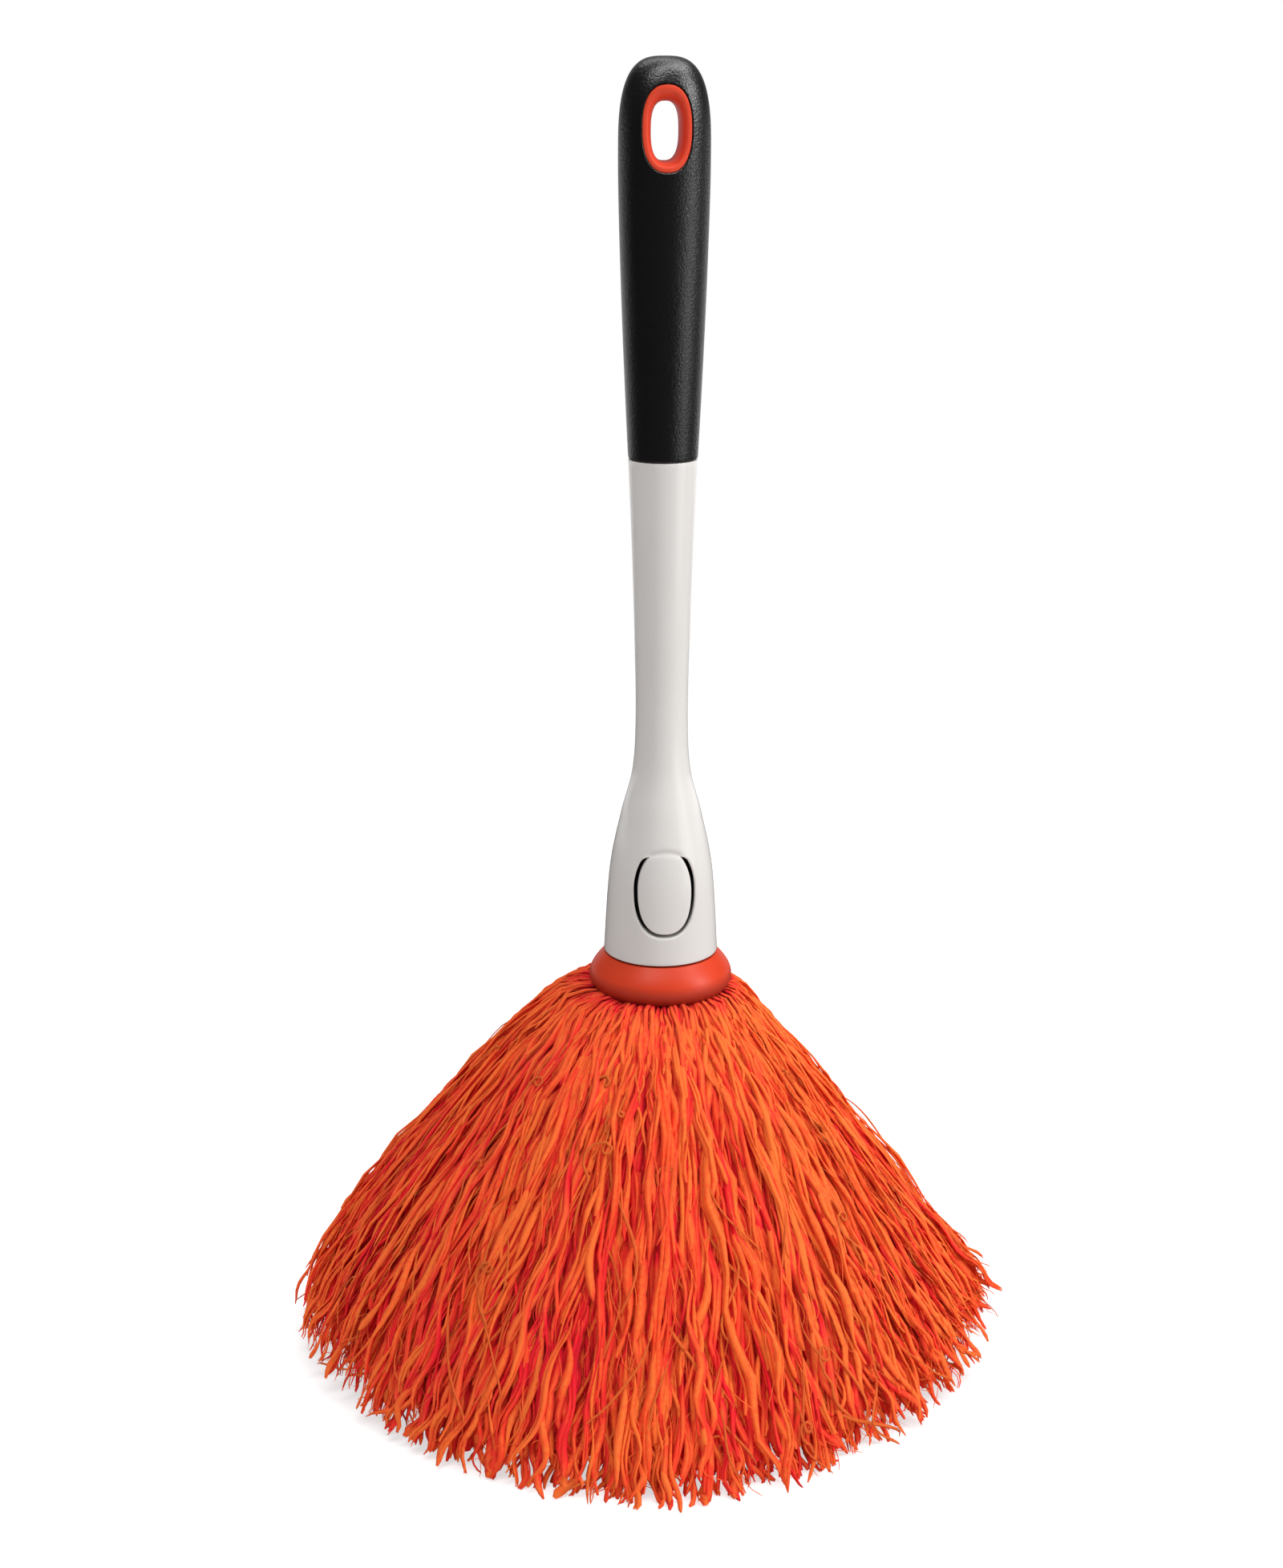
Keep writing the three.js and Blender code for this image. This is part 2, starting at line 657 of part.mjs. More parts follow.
const softBlack = finish(0x1d1c1d, 0.6);
const glossWhite = finish(0xe8e2da, 0.22);
const coreGrey = finish(0x8c8a86, 0.5);
const linerRed = finish(0xd9442c, 0.55);
const collarRed = finish(0xb8261b, 0.6);
const plugBlack = finish(0x1f1e1e, 0.45);
const strandOrange = finish(0xe4581f, 0.95);
const clampBlack = finish(0x2a2928, 0.5);
const screwSteel = finish(0xb9bcc0, 0.3, 1);

// Assembly

const duster = new THREE.Group();
const handle = new THREE.Group();
const head = new THREE.Group();
duster.add(handle, head);

function place(group, name, geometry, material) {
  const mesh = new THREE.Mesh(geometry, material);
  mesh.name = name;
  group.add(mesh);
}

place(handle, "grip_sleeve", gripSleeve(), softBlack);
place(handle, "grip_core", gripCore(), coreGrey);
place(handle, "hang_hole_liner", hangHoleLiner(), linerRed);
place(handle, "neck_housing", neckHousing(), glossWhite);
place(handle, "release_button", releaseButton(), glossWhite);
place(head, "head_plug", headPlug(), plugBlack);
place(head, "latch_arm", latchArm(), plugBlack);
place(head, "collar_ring", collarRing(), collarRed);
const ringNames = ["outer", "middle", "inner", "core"];
ringNames.forEach((name, index) => {
  place(head, `strand_ring_${name}`, strandRing(index), strandOrange);
});
place(head, "clamp_washer", clampWasher(), clampBlack);
place(head, "clamp_screw", clampScrew(), screwSteel);

export default duster;
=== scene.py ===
"""Looks of a microfiber duster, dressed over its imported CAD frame.

Sizes are in millimetres, in the frame's own axes, and become metres when a mesh is made.
The duster stands on the tips of its strands at z = 0, and its button faces -Y.
"""

from __future__ import annotations

import json
import logging
import math
from dataclasses import dataclass, field, fields, replace
from enum import Enum
from typing import Callable, Sequence, Union

import bmesh
import bpy
import numpy as np
from mathutils import Matrix, Vector

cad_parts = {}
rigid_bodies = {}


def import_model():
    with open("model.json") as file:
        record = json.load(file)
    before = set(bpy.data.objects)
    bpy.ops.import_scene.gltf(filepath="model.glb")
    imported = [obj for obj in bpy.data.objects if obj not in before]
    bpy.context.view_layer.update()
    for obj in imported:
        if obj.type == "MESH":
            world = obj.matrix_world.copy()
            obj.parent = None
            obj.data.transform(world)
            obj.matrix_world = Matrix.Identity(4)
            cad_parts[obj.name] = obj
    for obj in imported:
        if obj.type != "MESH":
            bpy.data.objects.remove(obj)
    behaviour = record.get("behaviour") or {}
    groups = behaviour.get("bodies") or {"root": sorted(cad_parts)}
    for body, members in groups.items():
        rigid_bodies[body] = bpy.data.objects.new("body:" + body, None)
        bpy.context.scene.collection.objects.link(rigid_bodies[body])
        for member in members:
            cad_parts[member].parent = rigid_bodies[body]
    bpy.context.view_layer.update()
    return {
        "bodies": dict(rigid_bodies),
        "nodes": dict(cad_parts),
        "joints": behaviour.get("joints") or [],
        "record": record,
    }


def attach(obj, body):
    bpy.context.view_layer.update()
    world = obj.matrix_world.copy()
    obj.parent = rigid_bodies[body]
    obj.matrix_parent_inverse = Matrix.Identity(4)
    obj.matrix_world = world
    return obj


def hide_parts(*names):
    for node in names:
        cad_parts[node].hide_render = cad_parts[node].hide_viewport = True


LOG = logging.getLogger("duster")
MM = 0.001
TURN = 2.0 * math.pi
WELD_DISTANCE = 1e-6
LAYOUT = "OFBake"
WHITE = (1.0, 1.0, 1.0, 1.0)
GOLDEN_ANGLE = 2.4
TO_THE_BACK = np.array([1.0, -1.0, 1.0])
CORNERS_ALONG = np.array([0, 0, 1, 1])
CORNERS_ACROSS = np.array([0, 1, 1, 0])

Pair = tuple[float, float]
Colour = tuple[float, float, float]
Wave = tuple[float, float, float, float]


class Body(Enum):
    """The bodies of the frame that pieces ride on."""

    HEAD = "head"
    HANDLE = "handle"
    BUTTON = "button"
    LATCH = "latch"


# Shader tools


class Wire:
    """A socket that takes part in Python arithmetic, where each operation adds a Math node."""

    def __init__(self, bench: "Bench", socket: bpy.types.NodeSocket) -> None:
        """Holds the socket and the bench that its nodes go on."""
        self.bench = bench
        self.socket = socket

    def _math(self, operation: str, first: "Term", second: "Term") -> "Wire":
        """Adds one Math node and returns its output."""
        return self.bench.node("ShaderNodeMath", {"operation": operation}, {0: first, 1: second})

    def __add__(self, other: "Term") -> "Wire":
        """Sum."""
        return self._math("ADD", self, other)

    def __radd__(self, other: "Term") -> "Wire":
        """Reflected sum."""
        return self._math("ADD", other, self)

    def __sub__(self, other: "Term") -> "Wire":
        """Difference."""
        return self._math("SUBTRACT", self, other)

    def __rsub__(self, other: "Term") -> "Wire":
        """Reflected difference."""
        return self._math("SUBTRACT", other, self)

    def __mul__(self, other: "Term") -> "Wire":
        """Product."""
        return self._math("MULTIPLY", self, other)

    def __rmul__(self, other: "Term") -> "Wire":
        """Reflected product."""
        return self._math("MULTIPLY", other, self)

    def clamped(self) -> "Wire":
        """The value held between 0 and 1."""
        return self.bench.node("ShaderNodeClamp", {}, {"Value": self})


Term = Union[Wire, float, Sequence[float]]


class Bench:
    """Builds the node tree of one material or world."""

    def __init__(self, tree: bpy.types.NodeTree) -> None:
        """Clears the tree and starts from nothing."""
        self.tree = tree
        tree.nodes.clear()

    def node(self, kind: str, settings: dict, inputs: dict, out: int | str = 0) -> Wire:
        """Adds a node.

        Args:
            kind: The node's type name.
            settings: Its own settings, set first.
            inputs: A value or a Wire for each named or numbered socket.
            out: The output that is wanted.

        Returns:
            The chosen output.
        """
        made = self.tree.nodes.new(kind)
        for name, value in settings.items():
            setattr(made, name, value)
        for name, value in inputs.items():
            if isinstance(value, Wire):
                self.tree.links.new(value.socket, made.inputs[name])
            else:
                made.inputs[name].default_value = value
        return Wire(self, made.outputs[out] if len(made.outputs) else made.inputs[0])

    def blend(self, factor: Term, first: Term | Colour, second: Term | Colour) -> Wire:
        """Mixes two colours by a factor."""
        pair = [(*c, 1.0) if isinstance(c, tuple) else c for c in (first, second)]
        return self.node("ShaderNodeMix", {"data_type": "RGBA"}, {0: factor, 6: pair[0], 7: pair[1]}, 2)

    def place(self) -> Wire:
        """Object coordinates."""
        return self.node("ShaderNodeTexCoord", {}, {}, "Object")

    def attribute(self, name: str) -> Wire:
        """A value that the mesh carries at each of its points."""
        return self.node("ShaderNodeAttribute", {"attribute_name": name}, {}, "Fac")

    def noise(self, where: Wire, scale: float, detail: float = 2.0, roughness: float = 0.5) -> Wire:
        """Noise of a given scale, from 0 to 1."""
        inputs = {"Vector": where, "Scale": scale, "Detail": detail, "Roughness": roughness}
        return self.node("ShaderNodeTexNoise", {}, inputs, 0)

    def spread(self, value: Wire, low: float, high: float, to_low: float, to_high: float) -> Wire:
        """Maps a range of values onto another, clamped."""
        inputs = {0: value, 1: low, 2: high, 3: to_low, 4: to_high}
        return self.node("ShaderNodeMapRange", {"clamp": True}, inputs)

    def bump(self, height: Wire, strength: float, depth_mm: float) -> Wire:
        """A bump whose full height is a depth in millimetres."""
        inputs = {"Strength": strength, "Distance": depth_mm * MM, "Height": height}
        return self.node("ShaderNodeBump", {}, inputs, "Normal")

    def part(self, where: Wire, axis: str) -> Wire:
        """One coordinate of a place or a direction."""
        return self.node("ShaderNodeSeparateXYZ", {}, {"Vector": where}, axis)

    def surface(
        self, constants: dict, linked: dict, through: Colour = (0.0, 0.0, 0.0), share: float = 0.0
    ) -> None:
        """Ends the tree in a Principled shader.

        Args:
            constants: Values that are the same all over the surface.
            linked: Wires for the sockets that vary.
            through: The colour of light that comes through from behind.
            share: How much of the light comes through.
        """
        shader = self.node("ShaderNodeBsdfPrincipled", {}, {**constants, **linked}, "BSDF")
        if share:
            glow = self.node("ShaderNodeBsdfTranslucent", {}, {"Color": (*through, 1.0)})
            shader = self.node("ShaderNodeMixShader", {}, {0: share, 1: shader, 2: glow})
        self.node("ShaderNodeOutputMaterial", {}, {"Surface": shader})


def new_bench(name: str) -> tuple[bpy.types.Material, Bench]:
    """Makes an empty node material and the bench that fills it."""
    material = bpy.data.materials.new(name)
    material.use_nodes = True
    return material, Bench(material.node_tree)


# Finishes


@dataclass(frozen=True)
class MouldedFinish:
    """A moulded plastic or rubber: its colour drifts a little, a fine grain breaks its gloss, and it may
    darken to painted shade at its foot.
    """

    name: str
    colour: Colour
    shade: Colour
    roughness: float
    roughness_drift: float = 0.06
    grain_per_m: float = 2600.0
    grain_mm: float = 0.02
    grain_strength: float = 0.25
    drift_per_m: float = 34.0
    drift_band: Pair = (0.35, 0.65)
    specular: float = 0.5
    metallic: float = 0.0
    # painted shade: a darker colour towards the foot, and the heights over which it fades in
    foot: Colour | None = None
    foot_mm: Pair = (0.0, 0.0)

    def make(self) -> bpy.types.Material:
        """Builds the material, which may go over to a darker colour towards its foot as painted shade.

        Returns:
            The finished material.
        """
        material, bench = new_bench(self.name)
        where = bench.place()
        drift = bench.noise(where, self.drift_per_m, detail=3.0)
        grain = bench.noise(where, self.grain_per_m, roughness=0.6)
        constants = {"Metallic": self.metallic, "Specular IOR Level": self.specular}
        colour = bench.blend(bench.spread(drift, *self.drift_band, 0.0, 1.0), self.shade, self.colour)
        # painted shade: below the given heights the colour goes over to the darker foot colour
        if self.foot:
            low, high = self.foot_mm
            above = bench.spread(bench.part(where, "Z"), low * MM, high * MM, 0.0, 1.0)
            colour = bench.blend(above, self.foot, colour)
        linked = {
            "Base Color": colour,
            "Roughness": self.roughness + (grain - 0.5) * self.roughness_drift,
            "Normal": bench.bump(grain, self.grain_strength, self.grain_mm),
        }
        bench.surface(constants, linked)
        return material


@dataclass(frozen=True)
class MicrofiberFinish:
    """Dyed orange microfiber, finely streaked: painted light on top of the pile, painted shade in its gaps
    and at its roots.

    The mesh's "tone" goes from the middle orange at 0 to the bright one at 1, partly by chance and partly as
    painted light.
    Its "depth" is painted shade: from lit at 0 to the crimson shade of a gap at 1, and on to the painted
    shadow at the root at 2.
    """

    name: str = "microfiber_orange"
    # bright and middle: the lit and the shaded orange, mixed by tone as painted light and by chance
    bright: Colour = (0.99, 0.200, 0.038)
    middle: Colour = (0.99, 0.078, 0.022)
    # deep is painted shade: the crimson of the gaps in the pile
    deep: Colour = (0.95, 0.012, 0.032)
    # root is a painted shadow: the dark of the roots under the collar
    root: Colour = (0.28, 0.010, 0.010)
    roughness: float = 0.85
    specular: float = 0.2
    sheen: float = 0.15
    sheen_roughness: float = 0.4
    sheen_tint: Colour = (1.0, 0.17, 0.05)
    mottle_per_m: float = 900.0
    mottle_share: float = 1.5
    streaks: tuple[float, float, float] = (130.0, 900.0, 1.0)
    streak_share: float = 1.5
    bump_strength: float = 0.8
    bump_mm: float = 0.3
    through: Colour = (0.99, 0.07, 0.03)
    through_share: float = 0.2

    def make(self) -> bpy.types.Material:
        """Builds the material.

        Returns:
            The finished material.
        """
        material, bench = new_bench(self.name)
        where = bench.place()
        tone = bench.attribute("tone")
        depth = bench.attribute("depth")
        flat = bench.node("ShaderNodeUVMap", {"uv_map": LAYOUT}, {}, "UV")
        along = bench.node("ShaderNodeMapping", {}, {"Vector": flat, "Scale": self.streaks})
        streak = bench.noise(along, 1.0, roughness=0.6)
        mottle = bench.noise(where, self.mottle_per_m, roughness=0.6)
        tone = tone + (streak - 0.5) * self.streak_share + (mottle - 0.5) * self.mottle_share
        lit = bench.blend(tone.clamped(), self.middle, self.bright)
        # painted shade: depth 0 to 1 goes to the crimson of the gaps, and 1 to 2 on to the painted shadow at
        # the roots
        colour = bench.blend(depth.clamped(), lit, self.deep)
        colour = bench.blend((depth - 1.0).clamped(), colour, self.root)
        constants = {
            "Roughness": self.roughness,
            "Specular IOR Level": self.specular,
            "Sheen Weight": self.sheen,
            "Sheen Roughness": self.sheen_roughness,
            "Sheen Tint": (*self.sheen_tint, 1.0),
        }
        linked = {"Base Color": colour, "Normal": bench.bump(streak, self.bump_strength, self.bump_mm)}
        bench.surface(constants, linked, self.through, self.through_share)
        return material


SOFT_BLACK = MouldedFinish(
    "grip_soft_black",
    (0.0038, 0.0036, 0.0042),
    (0.0030, 0.0028, 0.0034),
    roughness=0.33,
    roughness_drift=0.1,
    grain_per_m=1500.0,
    grain_mm=0.3,
    grain_strength=0.5,
    specular=0.85,
)
GLOSS_WHITE = MouldedFinish(
    "neck_gloss_white",
    (0.66, 0.642, 0.62),
    (0.64, 0.622, 0.60),
    roughness=0.13,
    roughness_drift=0.02,
    grain_per_m=900.0,
    grain_mm=0.004,
    grain_strength=0.15,
)
LINER_RED = MouldedFinish(
    "liner_red",
    (0.74, 0.062, 0.022),
    (0.68, 0.050, 0.018),
    roughness=0.5,
    roughness_drift=0.08,
    grain_per_m=3000.0,
    grain_mm=0.012,
    specular=0.3,
)
COLLAR_RED = MouldedFinish(
    "collar_red",
    (0.64, 0.046, 0.012),
    (0.58, 0.040, 0.010),
    roughness=0.38,
    roughness_drift=0.08,
    grain_mm=0.015,
    grain_strength=0.3,
    specular=0.3,
    # painted shade: the collar darkens towards its lower edge, where the strands shade it
    foot=(0.17, 0.010, 0.007),
    foot_mm=(99.0, 105.0),
)
PLUG_BLACK = MouldedFinish(
    "plug_black",
    (0.016, 0.016, 0.016),
    (0.012, 0.012, 0.012),
    roughness=0.4,
    roughness_drift=0.1,
    grain_mm=0.015,
    grain_strength=0.3,
    specular=0.35,
)
CORE_GREY = MouldedFinish("core_grey", (0.27, 0.26, 0.25), (0.24, 0.23, 0.22), roughness=0.5)
CLAMP_BLACK = MouldedFinish("clamp_black", (0.025, 0.025, 0.025), (0.018, 0.018, 0.018), roughness=0.5)
SCREW_STEEL = MouldedFinish(
    "screw_steel",
    (0.55, 0.55, 0.57),
    (0.48, 0.48, 0.50),
    roughness=0.28,
    roughness_drift=0.12,
    metallic=1.0,
)


# Mesh tools


@dataclass
class Patch:
    """A grid of points in millimetres, rows by columns, whose columns may close into a ring."""

    points: np.ndarray
    wraps: bool = False

    def quads(self, first: int) -> np.ndarray:
        """The corner numbers of the grid's cells, counted from a first number."""
        rows, columns = self.points.shape[:2]
        number = first + np.arange(rows * columns).reshape(rows, columns)
        if self.wraps:
            number = np.concatenate([number, number[:, :1]], axis=1)
        corners = (number[:-1, :-1], number[:-1, 1:], number[1:, 1:], number[1:, :-1])
        return np.stack(corners, axis=-1).reshape(-1, 4)


def enter(name: str, data: bpy.types.ID) -> bpy.types.Object:
    """Puts a mesh, a lamp or a camera into the scene as an object."""
    made = bpy.data.objects.new(name, data)
    bpy.context.scene.collection.objects.link(made)
    return made


def link(name: str, mesh: bpy.types.Mesh, sharp_degrees: float) -> bpy.types.Object:
    """Puts a mesh into the scene, smooth where its faces meet at less than an angle."""
    mesh.polygons.foreach_set("use_smooth", np.ones(len(mesh.polygons), dtype=bool))
    mesh.set_sharp_from_angle(angle=math.radians(sharp_degrees))
    return enter(name, mesh)


def weld(mesh: bpy.types.Mesh, turn_out: bool) -> None:
    """Joins points that lie together, and may turn the faces of a closed shell outwards."""
    work = bmesh.new()
    work.from_mesh(mesh)
    bmesh.ops.remove_doubles(work, verts=work.verts, dist=WELD_DISTANCE)
    if turn_out:
        bmesh.ops.recalc_face_normals(work, faces=work.faces)
    work.to_mesh(mesh)
    work.free()


def sew(name: str, patches: Sequence[Patch], sharp_degrees: float = 40.0) -> bpy.types.Object:
    """Sews patches with common borders into one closed shell.

    Args:
        name: The piece's name.
        patches: Grids whose border points lie on each other.
        sharp_degrees: The angle past which an edge is sharp.

    Returns:
        The piece.
    """
    counts = np.cumsum([0] + [p.points.shape[0] * p.points.shape[1] for p in patches])
    points = np.concatenate([p.points.reshape(-1, 3) for p in patches]) * MM
    quads = np.concatenate([p.quads(int(first)) for p, first in zip(patches, counts)])
    mesh = bpy.data.meshes.new(name)
    mesh.from_pydata(points.tolist(), [], quads.tolist())
    weld(mesh, True)
    return link(name, mesh, sharp_degrees)


def smooth_copy(frame: dict, node: str, name: str, sharp_degrees: float = 32.0) -> bpy.types.Object:
    """Copies a CAD node's mesh, joins its loose triangles and shades its round faces smooth."""
    mesh = frame["nodes"][node].data.copy()
    mesh.name = name
    mesh.materials.clear()
    weld(mesh, False)
    return link(name, mesh, sharp_degrees)


def ramp(value: np.ndarray, low: float, high: float) -> np.ndarray:
    """A smooth step from 0 below low to 1 above high."""
    share = np.clip((value - low) / (high - low), 0.0, 1.0)
    return share * share * (3.0 - 2.0 * share)


def fade(value: np.ndarray, band: Pair) -> np.ndarray:
    """A smooth step from 1 before a band to 0 after it."""
    return 1.0 - ramp(value, *band)


def rise(first: float, value: np.ndarray, band: Pair) -> np.ndarray:
    """A smooth step from a first value before a band to 1 after it."""
    return first + (1.0 - first) * ramp(value, *band)


def hump(value: np.ndarray, bands: tuple[Pair, Pair]) -> np.ndarray:
    """A smooth hump from 0 up to 1 over the first band and back over the second."""
    return ramp(value, *bands[0]) * fade(value, bands[1])


def ripples(turn: np.ndarray, t: np.ndarray, waves: Sequence[Wave]) -> np.ndarray:
    """A sum of height * sin(count * turn + drift * t + start), with those four numbers for each wave."""
    return sum(high * np.sin(count * turn + drift * t + start) for high, count, drift, start in waves)


def quarter(rows: int) -> np.ndarray:
    """Angles in even steps over a quarter of a turn."""
    return np.linspace(0.0, math.pi / 2, rows)


def circle(columns: int) -> np.ndarray:
    """Angles in even steps over a whole turn, which starts at the back and has no angle twice."""
    return np.linspace(-math.pi, math.pi, columns, endpoint=False)


def carry(mesh: bpy.types.Mesh, tone: np.ndarray, depth: np.ndarray, flat: np.ndarray) -> None:
    """Gives a mesh of strands its two colour values at each point and its flat layout at each corner."""
    for name, values in (("tone", tone), ("depth", depth)):
        carried = mesh.attributes.new(name, "FLOAT", "POINT")
        carried.data.foreach_set("value", values.reshape(-1).astype(np.float32))
    mesh.uv_layers.new(name=LAYOUT).data.foreach_set("uv", flat.reshape(-1).astype(np.float32))


def bezier(share: np.ndarray, points: Sequence[tuple]) -> tuple[np.ndarray, np.ndarray]:
    """A cubic Bezier curve in a plane, at shares of its length from 0 to 1.

    Args:
        share: Where to read the curve.
        points: Its four control points, as pairs of coordinates.

    Returns:
        The two coordinates.
    """
    left = 1.0 - share
    weights = (left**3, 3 * left**2 * share, 3 * left * share**2, share**3)
    first = sum(w * p[0] for w, p in zip(weights, points))
    second = sum(w * p[1] for w, p in zip(weights, points))
    return first, second


def lathe(rings: np.ndarray, columns: int) -> Patch:
    """Carries a profile of (radius, height) rows round the upright axis."""
    turn = circle(columns)
    radius, height = rings[:, :1], rings[:, 1:]
    level = np.broadcast_to(height, (len(rings), columns))
    points = np.stack([radius * np.sin(turn), -radius * np.cos(turn), level], axis=-1)
    return Patch(points, True)


@dataclass
class Window:
    """An opening through a wall: a smooth outline in the X-Z plane, which may be cut level at its top."""

    centre: float
    half_width: float
    half_height: float
    power: float
    fillet: float
    level_top: float = math.inf
    lower_power: float | None = None
    pinch: Pair = (0.0, 1.0)

    def outline(self, turn: np.ndarray, spare: float = 0.0) -> tuple[np.ndarray, np.ndarray, np.ndarray]:
        """The opening's edge: x is the half width times cos^(2/power), and z likewise with sin.

        A pinch draws the sides in below the level top, along a quarter ellipse.

        Args:
            turn: The parameter's angles.
            spare: How far the edge is drawn in.

        Returns:
            The edge's points, the directions out of the opening, and 1 on the curve to 0 on the level top.
        """
        cosine, sine = np.cos(turn), np.sin(turn)
        bend = 2.0 / np.where(sine < 0.0, self.lower_power or self.power, self.power)
        x = (self.half_width - spare) * np.sign(cosine) * np.abs(cosine) ** bend
        z = (self.half_height - spare) * np.sign(sine) * np.abs(sine) ** bend
        slope = 2.0 - bend
        out = np.stack(
            [
                np.sign(cosine) * np.abs(cosine) ** slope / self.half_width,
                np.sign(sine) * np.abs(sine) ** slope / self.half_height,
            ],
            axis=-1,
        )
        out /= np.linalg.norm(out, axis=-1, keepdims=True)
        level = self.level_top - self.centre
        drawn, below = self.pinch
        near = (z >= level).astype(float)
        if drawn:
            near = np.clip((z - level) / below + 1.0, 0.0, 1.0)
        curved = np.sqrt(1.0 - near**2)
        x = x - np.sign(cosine) * drawn * (1.0 - curved)
        out = np.where(curved[:, None] > 0, out, np.array([0.0, 1.0]))
        edge = np.stack([x, np.minimum(z, level) + self.centre], axis=-1)
        return edge, out, curved


@dataclass
class Tube:
    """A wall whose level sections are ellipses: each row has a half width, a half depth and a height."""

    half_width: np.ndarray
    half_depth: np.ndarray
    height: np.ndarray
    columns: int = 96
    dip: Callable[[np.ndarray, np.ndarray], np.ndarray] | None = None
    frame_rings: int = 14
    frame_closer: float = 1.7
    fillet_rings: int = 6

    def surface(self, rows: slice, turn: np.ndarray) -> np.ndarray:
        """Points of the wall: x = half width * sin(turn), y = -half depth * cos(turn)."""
        wide, deep, high = (a[rows, None] for a in (self.half_width, self.half_depth, self.height))
        x = wide * np.sin(turn)
        y = -deep * np.cos(turn)
        return np.stack([x, y, np.broadcast_to(high, x.shape)], axis=-1)

    def front(self, x: np.ndarray, z: np.ndarray) -> np.ndarray:
        """How far the wall lies in front: half depth * sqrt(1 - (x / half width)^2), less any dip."""
        wide = np.interp(z, self.height, self.half_width)
        deep = np.interp(z, self.height, self.half_depth)
        out = deep * np.sqrt(np.clip(1.0 - (x / wide) ** 2, 0.0, 1.0))
        return out - self.dip(x, z) if self.dip else out

    def onto(self, plane: np.ndarray, drop: np.ndarray | float) -> np.ndarray:
        """Carries points of the X-Z plane onto the front of the wall, and sinks them by a drop."""
        x, z = plane[..., 0], plane[..., 1]
        return np.stack([x, drop - self.front(x, z), z], axis=-1)

    def around(
        self, window: Window, span: int, margin: float, back_too: bool
    ) -> tuple[list[Patch], np.ndarray]:
        """Cuts the wall's grid open round a window.

        Args:
            window: The opening.
            span: How many columns to each side of the middle are cut out.
            margin: How far the cut goes above and below the opening.
            back_too: True if the same opening is cut in the back.

        Returns:
            The patches of the wall that is left, and the cut's border in the X-Z plane, anticlockwise.
        """
        step = TURN / self.columns
        low = int(np.searchsorted(self.height, window.centre - window.half_height - margin)) - 1
        top = min(window.level_top, window.centre + window.half_height)
        high = int(np.searchsorted(self.height, top + margin))
        whole = circle(self.columns)
        side = step * np.arange(span, self.columns // 2 - (span if back_too else 0) + 1)
        cells = slice(low, high + 1)
        patches = [
            Patch(self.surface(slice(0, low + 1), whole), True),
            Patch(self.surface(slice(high, None), whole), True),
            Patch(self.surface(cells, side)),
            Patch(self.surface(cells, -side)),
        ]
        cut = step * np.arange(-span, span + 1)
        rows = np.arange(low, high + 1)
        upright = np.full(len(rows) - 1, span * step)
        level = np.ones(len(cut) - 1, dtype=int)
        turns = np.concatenate([cut[:-1], upright, cut[:0:-1], -upright])
        lines = np.concatenate([low * level, rows[:-1], high * level, rows[:0:-1]])
        border = np.stack([self.half_width[lines] * np.sin(turns), self.height[lines]], axis=-1)
        return patches, border

    def rounded(
        self, window: Window, turn: np.ndarray, origin: np.ndarray, left: np.ndarray, side: float
    ) -> np.ndarray:
        """Carries rings from an origin to an opening's edge, and over its fillet.

        The rings lie on straight lines from the origin to the start of the fillet.
        The fillet is a quarter circle that ends square to the wall.

        Args:
            window: The opening.
            turn: The angles of the edge's points.
            origin: Where the rings start, in the X-Z plane.
            left: The share of the way that is left at each ring.
            side: 1 for rings that lie outside of the edge and -1 for rings inside it.

        Returns:
            The rows of points, from the origin on.
        """
        edge, out, curved = window.outline(turn)
        fillet = (window.fillet * curved)[:, None]
        inwards = side * out * fillet
        start = edge + inwards
        flat = start + left[:, None, None] * (origin - start)
        bend = quarter(self.fillet_rings)[1:, None, None]
        plane = np.concatenate([flat, edge + inwards * (1.0 - np.sin(bend))])
        drop = np.concatenate([np.zeros(flat.shape[:2]), (fillet * (1.0 - np.cos(bend)))[..., 0]])
        return self.onto(plane, drop)

    def frame_window(self, window: Window, border: np.ndarray) -> np.ndarray:
        """Fills the wall from a cut's border to the opening, with rings that lie closer near its edge.

        Args:
            window: The opening.
            border: The cut's border.

        Returns:
            The rows of points, from the border inwards.
        """
        turn = np.arctan2(
            (border[:, 1] - window.centre) / window.half_height, border[:, 0] / window.half_width
        )
        left = np.linspace(1.0, 0.0, self.frame_rings) ** self.frame_closer
        return self.rounded(window, turn, border, left, 1.0)


# Sub-assemblies


@dataclass
class Piece:
    """A finished mesh with the words that the frame needs about it."""

    made: bpy.types.Object
    body: Body
    slot: str
    nodes: tuple[str, ...]

    def settle(self, material: bpy.types.Material) -> None:
        """Dresses the piece and fixes it to its body."""
        self.made.data.materials.clear()
        self.made.data.materials.append(material)
        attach(self.made, self.body.value)
        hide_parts(*self.nodes)
        LOG.info("%s: %d faces on %s", self.made.name, len(self.made.data.polygons), self.body.value)


